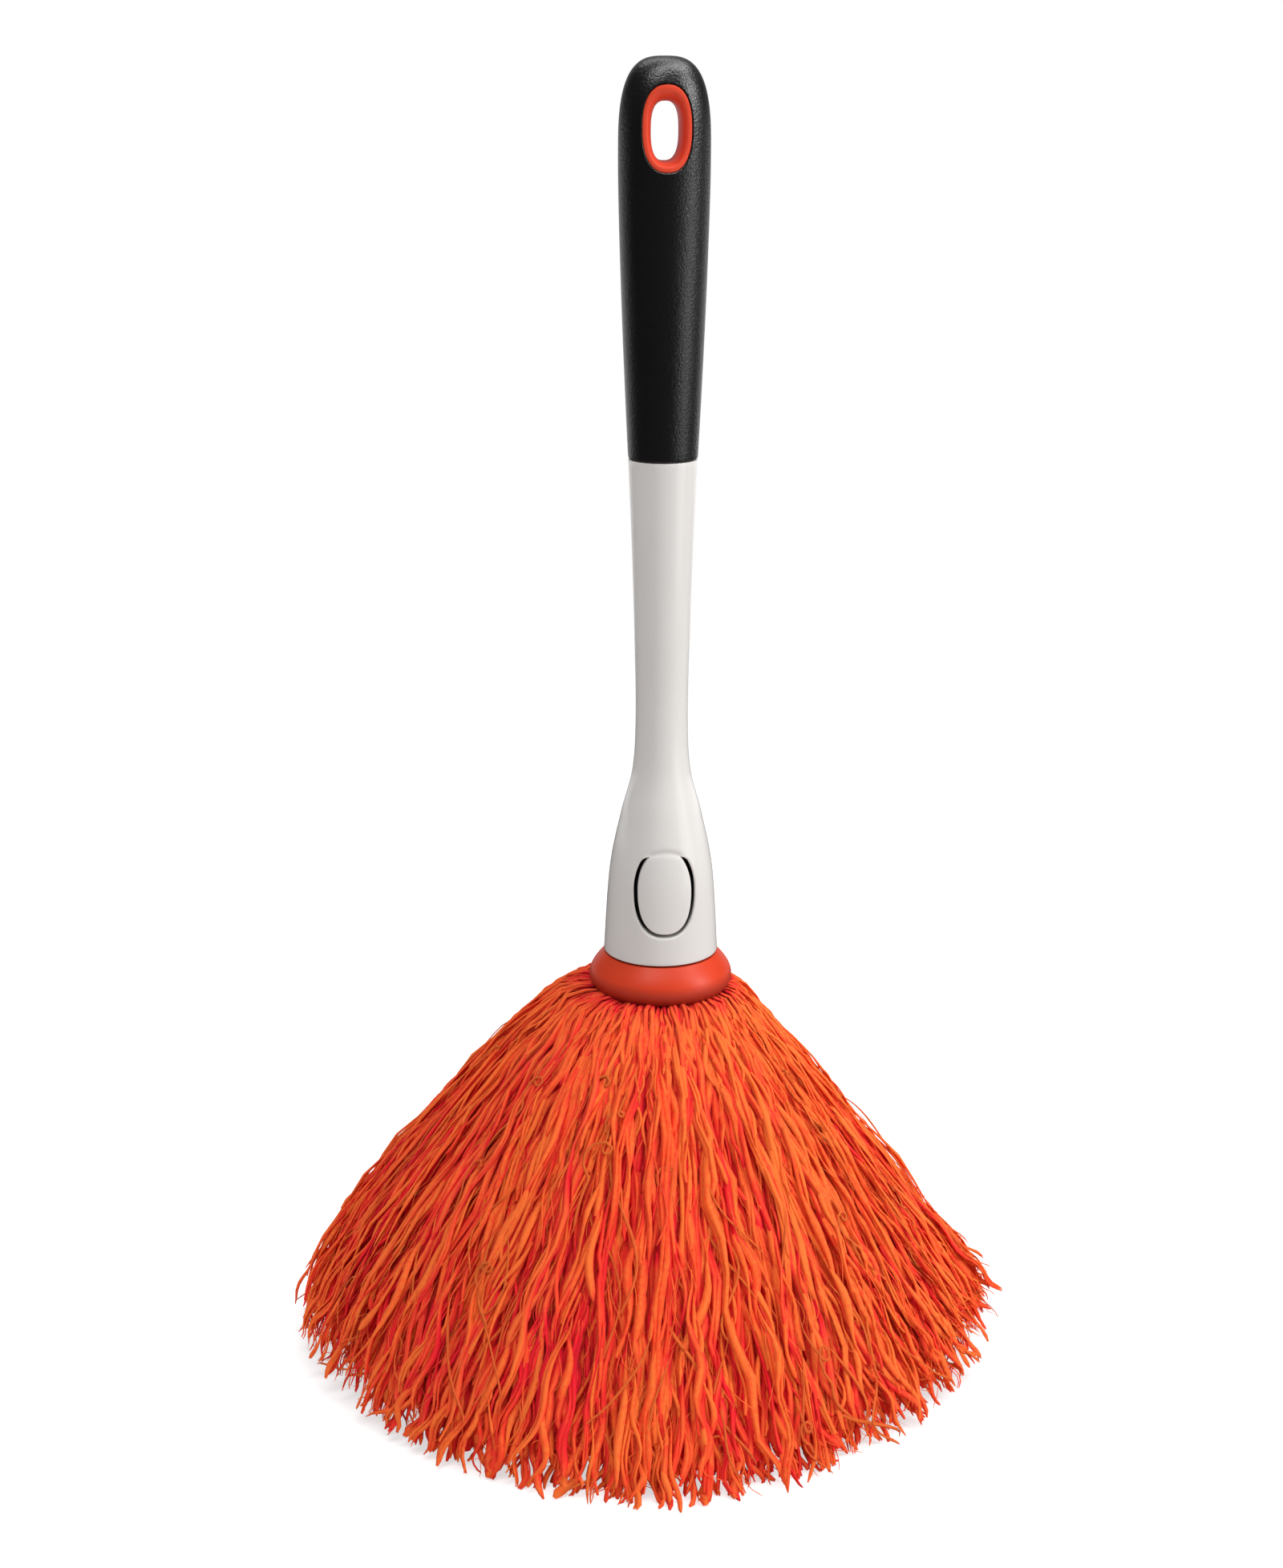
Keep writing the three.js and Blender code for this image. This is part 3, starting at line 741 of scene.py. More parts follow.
@dataclass
class Grip:
    """The soft black sleeve with its domed top, and the red liner of its hang hole."""

    foot: float = 246.3
    seam: float = 246.0
    top: float = 347.3
    radius: float = 11.8
    foot_radius: float = 9.15
    swell_height: float = 74.0
    swell_power: float = 1.4
    depth_ratio: float = 0.86
    flat_from: float = 320.0
    dome_height: float = 24.0
    dome_power: float = 2.97
    foot_round: float = 0.45
    foot_rows: int = 5
    foot_ring: float = 4.0
    row_step: float = 1.0
    dome_rows: int = 40
    hole: Window = field(default_factory=lambda: Window(329.8, 6.3, 10.7, 2.4, 0.45))
    hole_span: int = 14
    hole_margin: float = 2.4
    liner_gap: float = 0.06
    liner_inset: float = 0.12
    liner_columns: int = 120
    liner_sharp: float = 60.0
    lip: float = 0.9
    lip_round: float = 0.35
    lip_rows: int = 5
    flare_rows: int = 16
    flare_powers: Pair = (0.9, 1.1)
    throat_half_width: float = 3.7
    throat_half_height: float = 7.3
    throat_drop: float = 0.7
    throat_power: float = 2.7
    throat_land: float = 4.0

    def half_width(self, z: np.ndarray) -> np.ndarray:
        """The sleeve's half width: it swells from the foot by a power law."""
        up = z - self.seam
        left = np.clip(1.0 - up / self.swell_height, 0.0, 1.0)
        return self.radius - (self.radius - self.foot_radius) * left**self.swell_power

    def rows(self) -> tuple[np.ndarray, np.ndarray, np.ndarray]:
        """Half width, half depth and height of each row: foot, rounded foot edge, swell and dome."""
        dome_foot = self.top - self.dome_height
        bend = quarter(self.foot_rows)
        edge_width = self.half_width(np.array(self.foot)) - self.foot_round * (1.0 - np.sin(bend))
        edge_height = self.foot + self.foot_round * (1.0 - np.cos(bend))
        swell = np.arange(self.foot + self.foot_round + self.row_step, dome_foot, self.row_step)
        rise_turn = quarter(self.dome_rows)
        power = 2.0 / self.dome_power
        dome_width = self.half_width(np.array(dome_foot)) * np.cos(rise_turn) ** power
        dome_height = dome_foot + self.dome_height * np.sin(rise_turn) ** power
        dome_width[-1] = 0.0
        width = np.concatenate([[0.0, self.foot_ring], edge_width, self.half_width(swell), dome_width])
        height = np.concatenate([[self.foot, self.foot], edge_height, swell, dome_height])
        depth = width * (1.0 + (self.depth_ratio - 1.0) * ramp(height, self.seam, self.flat_from))
        return width, depth, height

    def tube(self) -> Tube:
        """The sleeve's wall."""
        return Tube(*self.rows())

    def build_sleeve(self) -> bpy.types.Object:
        """The sleeve: its wall, the frames of the hole in front and back, and the tunnel between them.

        Returns:
            The piece.
        """
        tube = self.tube()
        patches, border = tube.around(self.hole, self.hole_span, self.hole_margin, True)
        front = tube.frame_window(self.hole, border)
        back = front * TO_THE_BACK
        tunnel = np.stack([front[-1], back[-1]])
        patches += [Patch(front, True), Patch(back, True), Patch(tunnel, True)]
        return sew("grip_sleeve_soft", patches)

    def build_liner(self) -> bpy.types.Object:
        """The liner: a ring whose section goes over a lip and down a flare to the throat, and back outside.

        The flare is a quarter ellipse, level with the sleeve at the lip and square to it at the throat.

        Returns:
            The piece.
        """
        tube = self.tube()
        turn = circle(self.liner_columns)
        outer = self.hole.outline(turn, self.liner_gap)[0]
        throat_window = Window(
            self.hole.centre - self.throat_drop,
            self.throat_half_width,
            self.throat_half_height,
            self.throat_power,
            0.0,
        )
        throat = throat_window.outline(turn)[0]
        face = tube.front(outer[:, 0], outer[:, 1]) - self.liner_inset
        across = np.linalg.norm(throat - outer, axis=-1)
        lip_share = self.lip / across
        bend = quarter(self.flare_rows)[:, None]
        land = self.throat_land / 2.0
        reach = lip_share + (1.0 - lip_share) * np.sin(bend) ** self.flare_powers[0]
        depth = land + (face - land) * np.cos(bend) ** self.flare_powers[1]
        roll = quarter(self.lip_rows)[:-1, None]
        lip_reach = self.lip_round / across * (1.0 - np.cos(roll))
        lip_depth = face - self.lip_round * (1.0 - np.sin(roll))
        reach = np.concatenate([lip_reach, reach])
        depth = np.concatenate([lip_depth, depth])
        plane = outer + reach[..., None] * (throat - outer)
        front = np.stack([plane[..., 0], -depth, plane[..., 1]], axis=-1)
        back = front[::-1] * TO_THE_BACK
        ring = np.concatenate([front, back, front[:1]])
        return sew("hang_hole_liner_flared", [Patch(ring, True)], self.liner_sharp)

    def build(self) -> list[Piece]:
        """Both pieces, with the bodies and nodes that they stand for."""
        return [
            Piece(self.build_sleeve(), Body.HANDLE, "grip", ("grip_sleeve",)),
            Piece(self.build_liner(), Body.HANDLE, "liner", ("hang_hole_liner",)),
        ]

    def dress(self) -> None:
        """Builds and dresses the sleeve and the liner."""
        for piece, finish in zip(self.build(), (SOFT_BLACK, LINER_RED)):
            piece.settle(finish.make())


@dataclass
class Neck:
    """The glossy neck with its bulb, and the oval button that a slot leaves in its wall."""

    mouth: float = 110.0
    seam: float = 246.0
    stations: tuple[Pair, ...] = (
        (15.7, 0.0),
        (14.1, 23.4),
        (11.0, 39.2),
        (7.85, 51.8),
        (7.03, 67.0),
    )
    seam_radius: float = 9.15
    flare_power: float = 1.5
    flare_steps: int = 3
    curve_points: int = 60
    columns: int = 120
    row_step: float = 0.9
    row_margin: Pair = (0.7, 0.8)
    edge_round: float = 0.4
    edge_rows: int = 5
    seam_round: float = 0.5
    socket_radius: float = 12.8
    socket_draft: float = 3.0
    socket_depth: float = 32.3
    wall: float = 1.5
    hinge: float = 140.15
    button: Window = field(default_factory=lambda: Window(130.6, 7.25, 11.65, 2.0, 0.3, 140.15, 2.5))
    slot: float = 0.98
    slot_round: float = 0.8
    slot_end: Pair = (1.15, 1.6)
    slot_span: int = 19
    slot_margin: float = 3.4
    button_thickness: float = 1.6
    button_columns: int = 160
    button_rings: int = 26
    button_even: float = 0.8
    button_back_rings: int = 8
    valley_depth: float = 0.5
    valley_half_height: float = 0.75
    valley_half_width: float = 4.0
    valley_fade: Pair = (-0.6, 1.4)
    valley_lift: float = 0.35
    valley_arch: float = 0.8

    def profile(self) -> tuple[np.ndarray, np.ndarray]:
        """The neck's outside: a uniform Catmull-Rom curve through its stations.

        Between stations b and c, with neighbours a and d, the curve at share t is
        half of (2b + (c - a)t + (2a - 5b + 4c - d)t^2 + (3b - a - 3c + d)t^3).

        Returns:
            Heights and radii along the neck.
        """
        waist_radius, waist = self.stations[-1]
        share = np.arange(1, self.flare_steps + 1) / self.flare_steps
        flare_radius = waist_radius + (self.seam_radius - waist_radius) * share**self.flare_power
        flare_height = waist + (self.seam - self.mouth - waist) * share
        knots = np.concatenate([np.array(self.stations), np.stack([flare_radius, flare_height], axis=-1)])
        before = np.concatenate([knots[:1], knots[:-2]])
        after = np.concatenate([knots[2:], knots[-1:]])
        t = np.linspace(0.0, 1.0, self.curve_points)[:, None, None]
        b, c = knots[:-1], knots[1:]
        curve = 0.5 * (
            2 * b
            + (c - before) * t
            + (2 * before - 5 * b + 4 * c - after) * t**2
            + (3 * b - before - 3 * c + after) * t**3
        )
        points = curve.transpose(1, 0, 2).reshape(-1, 2)
        return points[:, 1] + self.mouth, points[:, 0]

    def radius(self, z: np.ndarray) -> np.ndarray:
        """The neck's radius at a height."""
        return np.interp(z, *self.profile())

    def valley(self, x: np.ndarray, z: np.ndarray) -> np.ndarray:
        """The shallow valley of the living hinge: a bell curve in height that fades at both ends."""
        half = self.valley_half_width
        middle = self.hinge + self.valley_lift + self.valley_arch * (1.0 - (x / half) ** 2)
        bell = np.exp(-(((z - middle) / self.valley_half_height) ** 2))
        first, last = self.valley_fade
        return self.valley_depth * bell * fade(np.abs(x), (half + first, half + last))

    def outside(self) -> Tube:
        """The outer wall, with rounded edges at the mouth and the seam."""
        bend = quarter(self.edge_rows)
        turn_in = self.edge_round * (1.0 - np.sin(bend))
        step_in = self.edge_round * (1.0 - np.cos(bend))
        low, high = self.row_margin
        middle = np.arange(self.mouth + self.edge_round + low, self.seam - high, self.row_step)
        height = np.concatenate([self.mouth + step_in, middle, self.seam - step_in[::-1] * self.seam_round])
        radius = self.radius(height)
        radius[: len(bend)] -= turn_in
        radius[-len(bend) :] -= turn_in[::-1] * self.seam_round
        return Tube(radius, radius, height, self.columns, self.valley)

    def inside(self, outside: Tube) -> Tube:
        """The socket's wall, which narrows by its draft and never comes within a wall of the outside."""
        socket = self.socket_radius - self.socket_draft * (outside.height - self.mouth) / self.socket_depth
        radius = np.minimum(socket, self.radius(outside.height) - self.wall)
        return Tube(radius, radius, outside.height, outside.columns)

    def build_housing(self) -> bpy.types.Object:
        """The housing: outer wall, socket, window for the button, and the two ends.

        Returns:
            The piece.
        """
        outside = self.outside()
        inside = self.inside(outside)
        window = replace(
            self.button,
            half_width=self.button.half_width + self.slot,
            half_height=self.button.half_height + self.slot,
            fillet=self.slot_round,
            pinch=self.slot_end,
        )
        cut = (self.slot_span, self.slot_margin, False)
        patches, border = outside.around(window, *cut)
        inner_patches, inner_border = inside.around(window, *cut)
        frame = outside.frame_window(window, border)
        inner_frame = inside.frame_window(replace(window, fillet=0.0), inner_border)
        sill = np.stack([frame[-1], inner_frame[-1]])
        whole = circle(outside.columns)
        ends = [
            Patch(np.concatenate([outside.surface(row, whole), inside.surface(row, whole)]), True)
            for row in (slice(0, 1), slice(-1, None))
        ]
        patches += inner_patches + ends
        patches += [Patch(frame, True), Patch(inner_frame, True), Patch(sill, True)]
        return sew("neck_housing_gloss", patches)

    def build_button(self) -> bpy.types.Object:
        """The button: rings from its middle to a rounded edge, a wall, and the same rings behind.

        Returns:
            The piece.
        """
        outside = self.outside()
        face = self.button
        turn = circle(self.button_columns)
        middle = np.array([0.0, face.centre])
        left = 1.0 - np.linspace(0.0, 1.0, self.button_rings) ** self.button_even
        front = outside.rounded(face, turn, middle, left, -1.0)
        share = np.linspace(1.0, 0.0, self.button_back_rings)[:, None, None]
        behind = middle + share * (face.outline(turn)[0] - middle)
        back = outside.onto(behind, self.button_thickness)
        return sew("release_button_oval", [Patch(np.concatenate([front, back]), True)])

    def build(self) -> list[Piece]:
        """Both pieces, with the bodies and nodes that they stand for."""
        return [
            Piece(self.build_housing(), Body.HANDLE, "neck", ("neck_housing",)),
            Piece(self.build_button(), Body.BUTTON, "neck", ("release_button",)),
        ]

    def dress(self) -> None:
        """Builds and dresses the housing and the button in one finish."""
        material = GLOSS_WHITE.make()
        for piece in self.build():
            piece.settle(material)


@dataclass
class Head:
    """The collar ring, and the plug, latch and clamp that hold the strands."""

    foot: float = 98.6
    top: float = 109.5
    radius: float = 19.7
    bulge: float = 4.1
    foot_width: float = 3.5
    top_radius: float = 15.7
    inside_radius: float = 14.2
    waist_height: float = 0.38
    crown: Pair = (0.48, 0.66)
    roll_rows: int = 14
    slope_rows: int = 22
    columns: int = 120

    def build_collar(self) -> bpy.types.Object:
        """The collar: a quarter ellipse under its widest line and a Bezier slope above it, carried round.

        Returns:
            The piece.
        """
        wide = self.foot + self.bulge
        bend = quarter(self.roll_rows)
        roll_radius = self.radius - self.foot_width * (1.0 - np.sin(bend))
        roll_height = wide - self.bulge * np.cos(bend)
        rise = self.top - wide
        step = self.radius - self.top_radius
        slope_radius, slope_height = bezier(
            np.linspace(0.0, 1.0, self.slope_rows)[1:],
            (
                (self.radius, wide),
                (self.radius, wide + rise * self.waist_height),
                (self.top_radius + step * self.crown[0], wide + rise * self.crown[1]),
                (self.top_radius, self.top),
            ),
        )
        radius = np.concatenate([roll_radius, slope_radius, [self.inside_radius, self.inside_radius]])
        height = np.concatenate([roll_height, slope_height, [self.top, self.foot]])
        rings = np.stack([radius, height], axis=-1)
        return sew("collar_ring_soft", [lathe(np.concatenate([rings, rings[:1]]), self.columns)])

    def dress(self, frame: dict) -> None:
        """Builds and dresses the collar, and smooth copies of the pieces that stay mostly hidden.
        """
        plug = PLUG_BLACK.make()
        Piece(self.build_collar(), Body.HEAD, "collar", ("collar_ring",)).settle(COLLAR_RED.make())
        hidden = (
            ("head_plug", Body.HEAD, "plug", plug),
            ("latch_arm", Body.LATCH, "plug", plug),
            ("clamp_washer", Body.HEAD, "clamp", CLAMP_BLACK.make()),
            ("clamp_screw", Body.HEAD, "screw", SCREW_STEEL.make()),
            ("grip_core", Body.HANDLE, "core", CORE_GREY.make()),
        )
        for node, body, slot, material in hidden:
            Piece(smooth_copy(frame, node, f"{node}_smooth"), body, slot, (node,)).settle(material)


@dataclass(frozen=True)
class Lay:
    """How one kind of lock lies, where pairs are the lowest and highest of a chance.

    Shares count along the fall from the collar to the table, and the rest is in millimetres or degrees.
    The first four values are how far out the tips lie, how many locks there are, the filaments of each,
    and how much painted shade their colour has for lying deep in the pile.
    A lay with a span begins part of the way down, and both ends of its locks dive into the pile.
    """

    reach: float
    locks: int
    filaments: int
    depth: float
    begins: Pair = (0.0, 0.0)
    ends: Pair = (0.93, 1.0)
    span: Pair | None = None
    dive: float = 0.0
    girth: Pair = (0.45, 0.9)
    thickness: Pair = (0.5, 0.95)
    swell: float = 0.3
    side_wave: Pair = (0.4, 1.5)
    lift_wave: Pair = (0.3, 1.1)
    waves: Pair = (2.0, 5.0)
    lift: Pair = (-1.8, 0.8)
    stray: float = 3.2
    hook: float = 1.8
    curl: Pair = (0.0, 0.0)
    tone: Pair = (-0.1, 0.4)
    bunch: float = 0.0


@dataclass(frozen=True)
class Tuft:
    """One mesh of strands: the CAD ring that it stands for, where its roots are, and how its locks lie."""

    name: str
    node: str
    root_radius: float
    root_height: float
    lays: tuple[Lay, ...]
    steps: int = 18
    sides: int = 4
    piles_up: bool = False


OUTER_LAYS = (
    Lay(
        97.5, 200, 2, 0.0, thickness=(0.4, 1.05), swell=0.45, side_wave=(0.5, 1.7), lift_wave=(0.2, 0.9),
        waves=(3.0, 5.5), lift=(-0.9, 0.6), hook=1.0, bunch=1.0,
    ),
    Lay(
        97.0, 700, 1, 0.0, (0.02, 0.4), span=(0.06, 0.13), dive=0.9, girth=(0.0, 0.2), thickness=(0.3, 0.6),
        swell=0.3, side_wave=(0.1, 0.5), lift_wave=(0.1, 0.3), waves=(6.0, 12.0), lift=(-0.2, 1.1),
        stray=14.0, bunch=1.0,
    ),
)
UNDER_LAYS = (
    Lay(95.5, 240, 3, 0.1, thickness=(0.55, 1.0), lift=(-1.1, 0.1)),
    Lay(
        97.0, 260, 2, 0.0, (0.0, 0.03), span=(0.1, 0.34), girth=(0.3, 0.7), thickness=(0.36, 0.7), swell=0.35,
        side_wave=(0.2, 0.8), lift_wave=(0.2, 0.7), waves=(5.0, 11.0), lift=(0.0, 1.3), stray=6.0, bunch=1.0,
    ),
)
SHORT_LAYS = (
    Lay(
        97.0, 1650, 1, 0.0, (0.03, 0.82), span=(0.14, 0.36), dive=0.8, girth=(0.0, 0.2), thickness=(0.3, 1.1),
        swell=0.5, side_wave=(0.4, 1.3), lift_wave=(0.1, 0.5), waves=(5.0, 9.0), lift=(-0.3, 1.0), stray=9.0,
        bunch=1.0,
    ),
)
THREAD_LAYS = (
    Lay(
        97.0, 800, 1, 0.0, (0.1, 0.85), span=(0.08, 0.22), dive=0.7, girth=(0.0, 0.2), thickness=(0.2, 0.5),
        swell=0.4, side_wave=(0.5, 1.6), lift_wave=(0.1, 0.7), waves=(4.0, 8.0), lift=(0.1, 1.2), stray=11.0,
        bunch=0.8,
    ),
)
TIP_LAYS = (
    Lay(
        98.5, 330, 2, 0.0, (0.55, 0.74), span=(0.26, 0.45), thickness=(0.28, 0.9), swell=0.45,
        side_wave=(0.4, 1.3), waves=(4.0, 8.0), lift=(-1.0, 1.0), stray=4.0, hook=0.8, bunch=1.0,
    ),
    Lay(
        96.5, 340, 2, 0.1, (0.55, 0.74), span=(0.26, 0.45), thickness=(0.3, 0.7), side_wave=(0.4, 1.3),
        waves=(4.0, 8.0), lift=(-1.4, 0.6), stray=4.0, hook=0.8, bunch=0.6,
    ),
)
STRAY_LAYS = (
    Lay(
        97.0, 130, 1, 0.0, (0.3, 0.85), span=(0.16, 0.34), dive=0.4, girth=(0.0, 0.1), thickness=(0.28, 0.5),
        swell=0.15, side_wave=(2.0, 5.5), lift_wave=(0.3, 1.0), waves=(2.0, 4.5), lift=(1.4, 2.8), stray=14.0,
        hook=5.0, tone=(0.4, 0.9),
    ),
)
FUZZ_LAYS = (
    Lay(
        97.0, 3600, 1, 0.0, (0.02, 0.92), span=(0.05, 0.13), dive=0.4, girth=(0.0, 0.1),
        thickness=(0.1, 0.17), swell=0.1, side_wave=(0.4, 1.6), lift_wave=(0.4, 1.4), waves=(4.0, 9.0),
        lift=(0.4, 1.8), stray=12.0, hook=3.0, tone=(0.0, 0.6),
    ),
)
LOOP_LAYS = (
    Lay(
        97.0, 44, 1, 0.0, (0.15, 0.85), span=(0.16, 0.28), dive=0.3, girth=(0.0, 0.1), thickness=(0.32, 0.5),
        swell=0.1, side_wave=(0.4, 1.5), lift_wave=(0.2, 0.8), waves=(3.0, 6.0), lift=(2.2, 3.6), stray=16.0,
        hook=4.0, curl=(1.8, 3.6), tone=(0.6, 1.0),
    ),
)
# The fourth value of the inner lays is painted shade: crimson as if deep in the shade of the pile.
MIDDLE_LAYS = (
    Lay(91.0, 220, 3, 0.7, thickness=(0.7, 1.1)),
    Lay(85.0, 190, 3, 0.85, thickness=(0.7, 1.1)),
)
INNER_LAYS = (
    Lay(76.0, 160, 3, 0.9, thickness=(0.8, 1.2)),
    Lay(63.0, 130, 3, 0.9, thickness=(0.8, 1.2)),
)
CORE_LAYS = (
    Lay(48.0, 100, 3, 0.9, thickness=(0.8, 1.2)),
    Lay(32.0, 70, 3, 0.9, thickness=(0.8, 1.2)),
)


@dataclass
class Bundle:
    """Filaments as arrays with the axes filament, step and side, and x, y, z where they are vectors."""

    points: np.ndarray
    normals: np.ndarray
    tone: np.ndarray
    depth: np.ndarray
    level: np.ndarray
    spin: np.ndarray
    fall: np.ndarray

    @classmethod
    def joined(cls, parts: Sequence["Bundle"]) -> "Bundle":
        """One bundle out of several."""
        return cls(*(np.concatenate([getattr(part, item.name) for part in parts]) for item in fields(cls)))


class Pile:
    """How high the strands stand above the skirt's smooth form, on a grid of angle by share of the fall."""

    def __init__(self, rows: int = 220, columns: int = 900, ground: float = -1.4) -> None:
        """Starts with bare ground, in millimetres below the smooth form."""
        self.heights = np.full((rows, columns), ground)

    def cell(self, spin: np.ndarray, fall: np.ndarray) -> tuple[np.ndarray, np.ndarray]:
        """The grid's row and column for angles and shares."""
        rows, columns = self.heights.shape
        row = np.clip((fall * (rows - 1)).astype(int), 0, rows - 1)
        return row, np.floor(spin / TURN * columns).astype(int) % columns

    def add(self, bundle: Bundle, parts: int = 6) -> None:
        """Raises the grid to the top of each filament, read at several places between its steps."""
        share = np.linspace(0.0, 1.0, parts, endpoint=False)[:, None]

        def fine(values: np.ndarray) -> np.ndarray:
            """Values in a straight line from each step to the next."""
            return values[:, :-1, None] + share * (values[:, 1:, None] - values[:, :-1, None])

        cells = self.cell(fine(bundle.spin), fine(bundle.fall))
        np.maximum.at(self.heights, cells, fine(bundle.level))

    def mean(self, reach: int) -> np.ndarray:
        """The mean height within some cells, after each takes the best of its neighbours in the fall."""
        filled = np.max([np.roll(self.heights, step, 0) for step in (-1, 0, 1)], axis=0)
        for axis in (0, 1):
            steps = range(-reach, reach + 1)
            filled = sum(np.roll(filled, step, axis) for step in steps) / len(steps)
        return filled

    def shut(self, bundle: Bundle, near: tuple[int, float], wide: tuple[int, float]) -> np.ndarray:
        """How far each point is shut in by its neighbours: 0 on top of the pile and 1 down in a gap.

        Args:
            bundle: The filaments.
            near: A reach in cells and the depth below its mean height that counts as shut in.
            wide: The same for a wider ring of neighbours.

        Returns:
            A share for each point.
        """
        place = self.cell(bundle.spin, bundle.fall)
        rings = (near, wide)
        below = [(self.mean(reach)[place] - bundle.level) / depth for reach, depth in rings]
        return sum(np.clip(share, 0.0, 1.0) for share in below) / len(rings)


@dataclass
class Skirt:
    """The strands: locks of soft filaments that leave the collar, spread out and fall to the table.

    A band is a pair of shares, of the fall or of a strand, over which something comes in or fades out.
    """

    seed: int = 20

    # The smooth fall
    full_reach: float = 97.0
    shoulder: Pair = (0.22, 0.93)
    fall: Pair = (0.86, 0.22)
    look_ahead: float = 0.01
    side_reach: float = 0.5
    side_rise: float = 7.0
    early_rise: float = 0.6
    corner_cut: float = 3.0
    right_cut: float = 6.0
    foot_shift: Pair = (-2.6, -6.5)
    shift_power: float = 1.5

    # How far the skirt stands out from it
    left_bulge: float = 5.0
    right_bulge: float = -3.5
    bulge_power: float = 1.4
    left_shoulder: float = 2.8
    shoulder_bands: tuple[Pair, Pair] = ((0.0, 0.12), (0.2, 0.5))
    root_fill: float = 0.9
    fill_bands: tuple[Pair, Pair] = ((0.0, 0.04), (0.06, 0.25))

    # How the locks are scattered
    jitter: Pair = (-0.45, 0.45)
    reach_spread: Pair = (-5.0, 2.0)
    begin_power: float = 0.7
    shortest: float = 0.06
    stagger: Pair = (0.0, 0.05)
    furthest: float = 1.02
    twist: Pair = (-6.0, 6.0)
    tint: Pair = (-0.2, 0.2)
    root_spread: Pair = (-0.9, 0.9)
    nod: float = 0.6

    # How the filaments of a lock lie in it
    off_spread: float = 0.2
    angle_spread: Pair = (-0.5, 0.5)
    lock_section: Pair = (1.2, 0.85)
    tied: float = 0.35
    tied_band: Pair = (0.0, 0.35)
    close: float = 0.4
    close_band: Pair = (0.75, 1.0)

    # How a lock waves, gathers, lifts, hooks and curls
    wave_band: Pair = (0.0, 0.1)
    sway: tuple[Wave, ...] = ((1.2, 11.0, 5.0, 0.0), (0.9, 23.0, -9.0, 1.3))
    sway_band: Pair = (0.05, 0.4)
    bunches: tuple[int, int] = (61, 143)
    bunch_drift: Pair = (3.0, -6.0)
    bunch_wander: tuple[Wave, Wave] = ((1.6, 5.0, 4.0, 0.0), (2.0, 9.0, -5.0, 0.0))
    bunch_width: Pair = (1.35, 0.55)
    bunch_crest: Pair = (0.7, 0.25)
    gather_band: Pair = (0.08, 0.5)
    tip_gather: float = 0.35
    tip_gather_band: Pair = (0.75, 1.0)
    lift_band: Pair = (0.03, 0.35)
    dive_band: Pair = (0.85, 1.0)
    hook_band: Pair = (0.55, 1.0)
    hook_fall: Pair = (0.5, 1.0)
    curl_band: Pair = (0.38, 0.62)
    curl_width: Pair = (0.5, 1.3)

    # How thick a filament is
    flatness: float = 0.5
    swells: Pair = (3.0, 7.0)
    root_thin: float = 0.6
    root_thin_band: Pair = (0.0, 0.25)
    start_thin: float = 0.25
    start_thin_band: Pair = (0.0, 0.3)
    tip_taper: float = 0.62
    tip_taper_band: Pair = (0.9, 1.0)
    table_clear: float = 0.02
    soft_normal: float = 0.12

    # Its colour, with painted light on top of the pile and on the right, and painted shade in its gaps and
    # under the collar
    # painted light: the tone rises with a filament's height in the pile
    lit_share: float = 0.7
    lit_level: Pair = (-0.6, 1.4)
    # painted light: paler near the top of the fall, as if lit from above
    root_tone: float = 0.25
    root_tone_band: Pair = (0.05, 0.35)
    # painted shadow: darker under the collar
    root_dark: float = 2.0
    root_dark_band: Pair = (0.0, 0.125)
    # painted light: less shade on the lit right flank
    right_open: float = 0.3
    right_open_band: Pair = (0.2, 0.9)
    patches: tuple[Wave, ...] = ((0.1, 7.0, 6.0, 0.4), (0.1, 13.0, -8.0, 0.0), (0.1, 4.0, 11.0, 2.0))
    patch_band: Pair = (0.12, 0.4)
    # painted shade between bunches with painted light on their crests, on the sides and inner face of each
    # filament, and in the pile's gaps
    bunch_deep: float = 0.22
    edge_deep: float = 0.55
    deep_share: float = 0.95
    # these cap a lay's painted shade where the pile does not shut it in
    open_depth: float = 0.28
    open_shut: float = 0.7
    # painted light: less painted shade towards the tips
    tip_show: float = 0.75
    tip_show_band: Pair = (0.68, 1.0)
    # how far round and how deep the painted shade reads the pile's gaps
    near: tuple[int, float] = (2, 1.4)
    wide: tuple[int, float] = (4, 2.2)

    # Its flat layout
    strip_columns: int = 8
    strip_margin: Pair = (0.02, 0.08)

    # The bed of pressed fibres
    bed_grid: tuple[int, int] = (720, 40)
    bed_reach: float = 96.0
    bed_root: Pair = (17.4, 98.6)
    bed_level: float = -1.3
    bed_ridge: float = 0.5
    bed_waves: tuple[Wave, ...] = ((1.0, 191.0, 3.0, 0.0), (1.0, 127.0, -5.0, 1.0), (1.0, 61.0, 3.0, 0.0))
    bed_band: Pair = (0.05, 0.3)
    bed_end: float = 0.935
    bed_ragged: float = 0.045
    hem_mean: float = 1.6
    hem_waves: tuple[Pair, ...] = ((30.5, 0.0), (71.5, 1.0), (18.5, 2.0))
    bed_clear: float = 0.1
    # painted shade of the bed, painted light on its crests, and its tone
    bed_depth: float = 0.7
    bed_relief: float = 0.5
    bed_tone: Pair = (0.1, 0.3)
    bed_strip: float = 3.2
    bed_sharp: float = 60.0

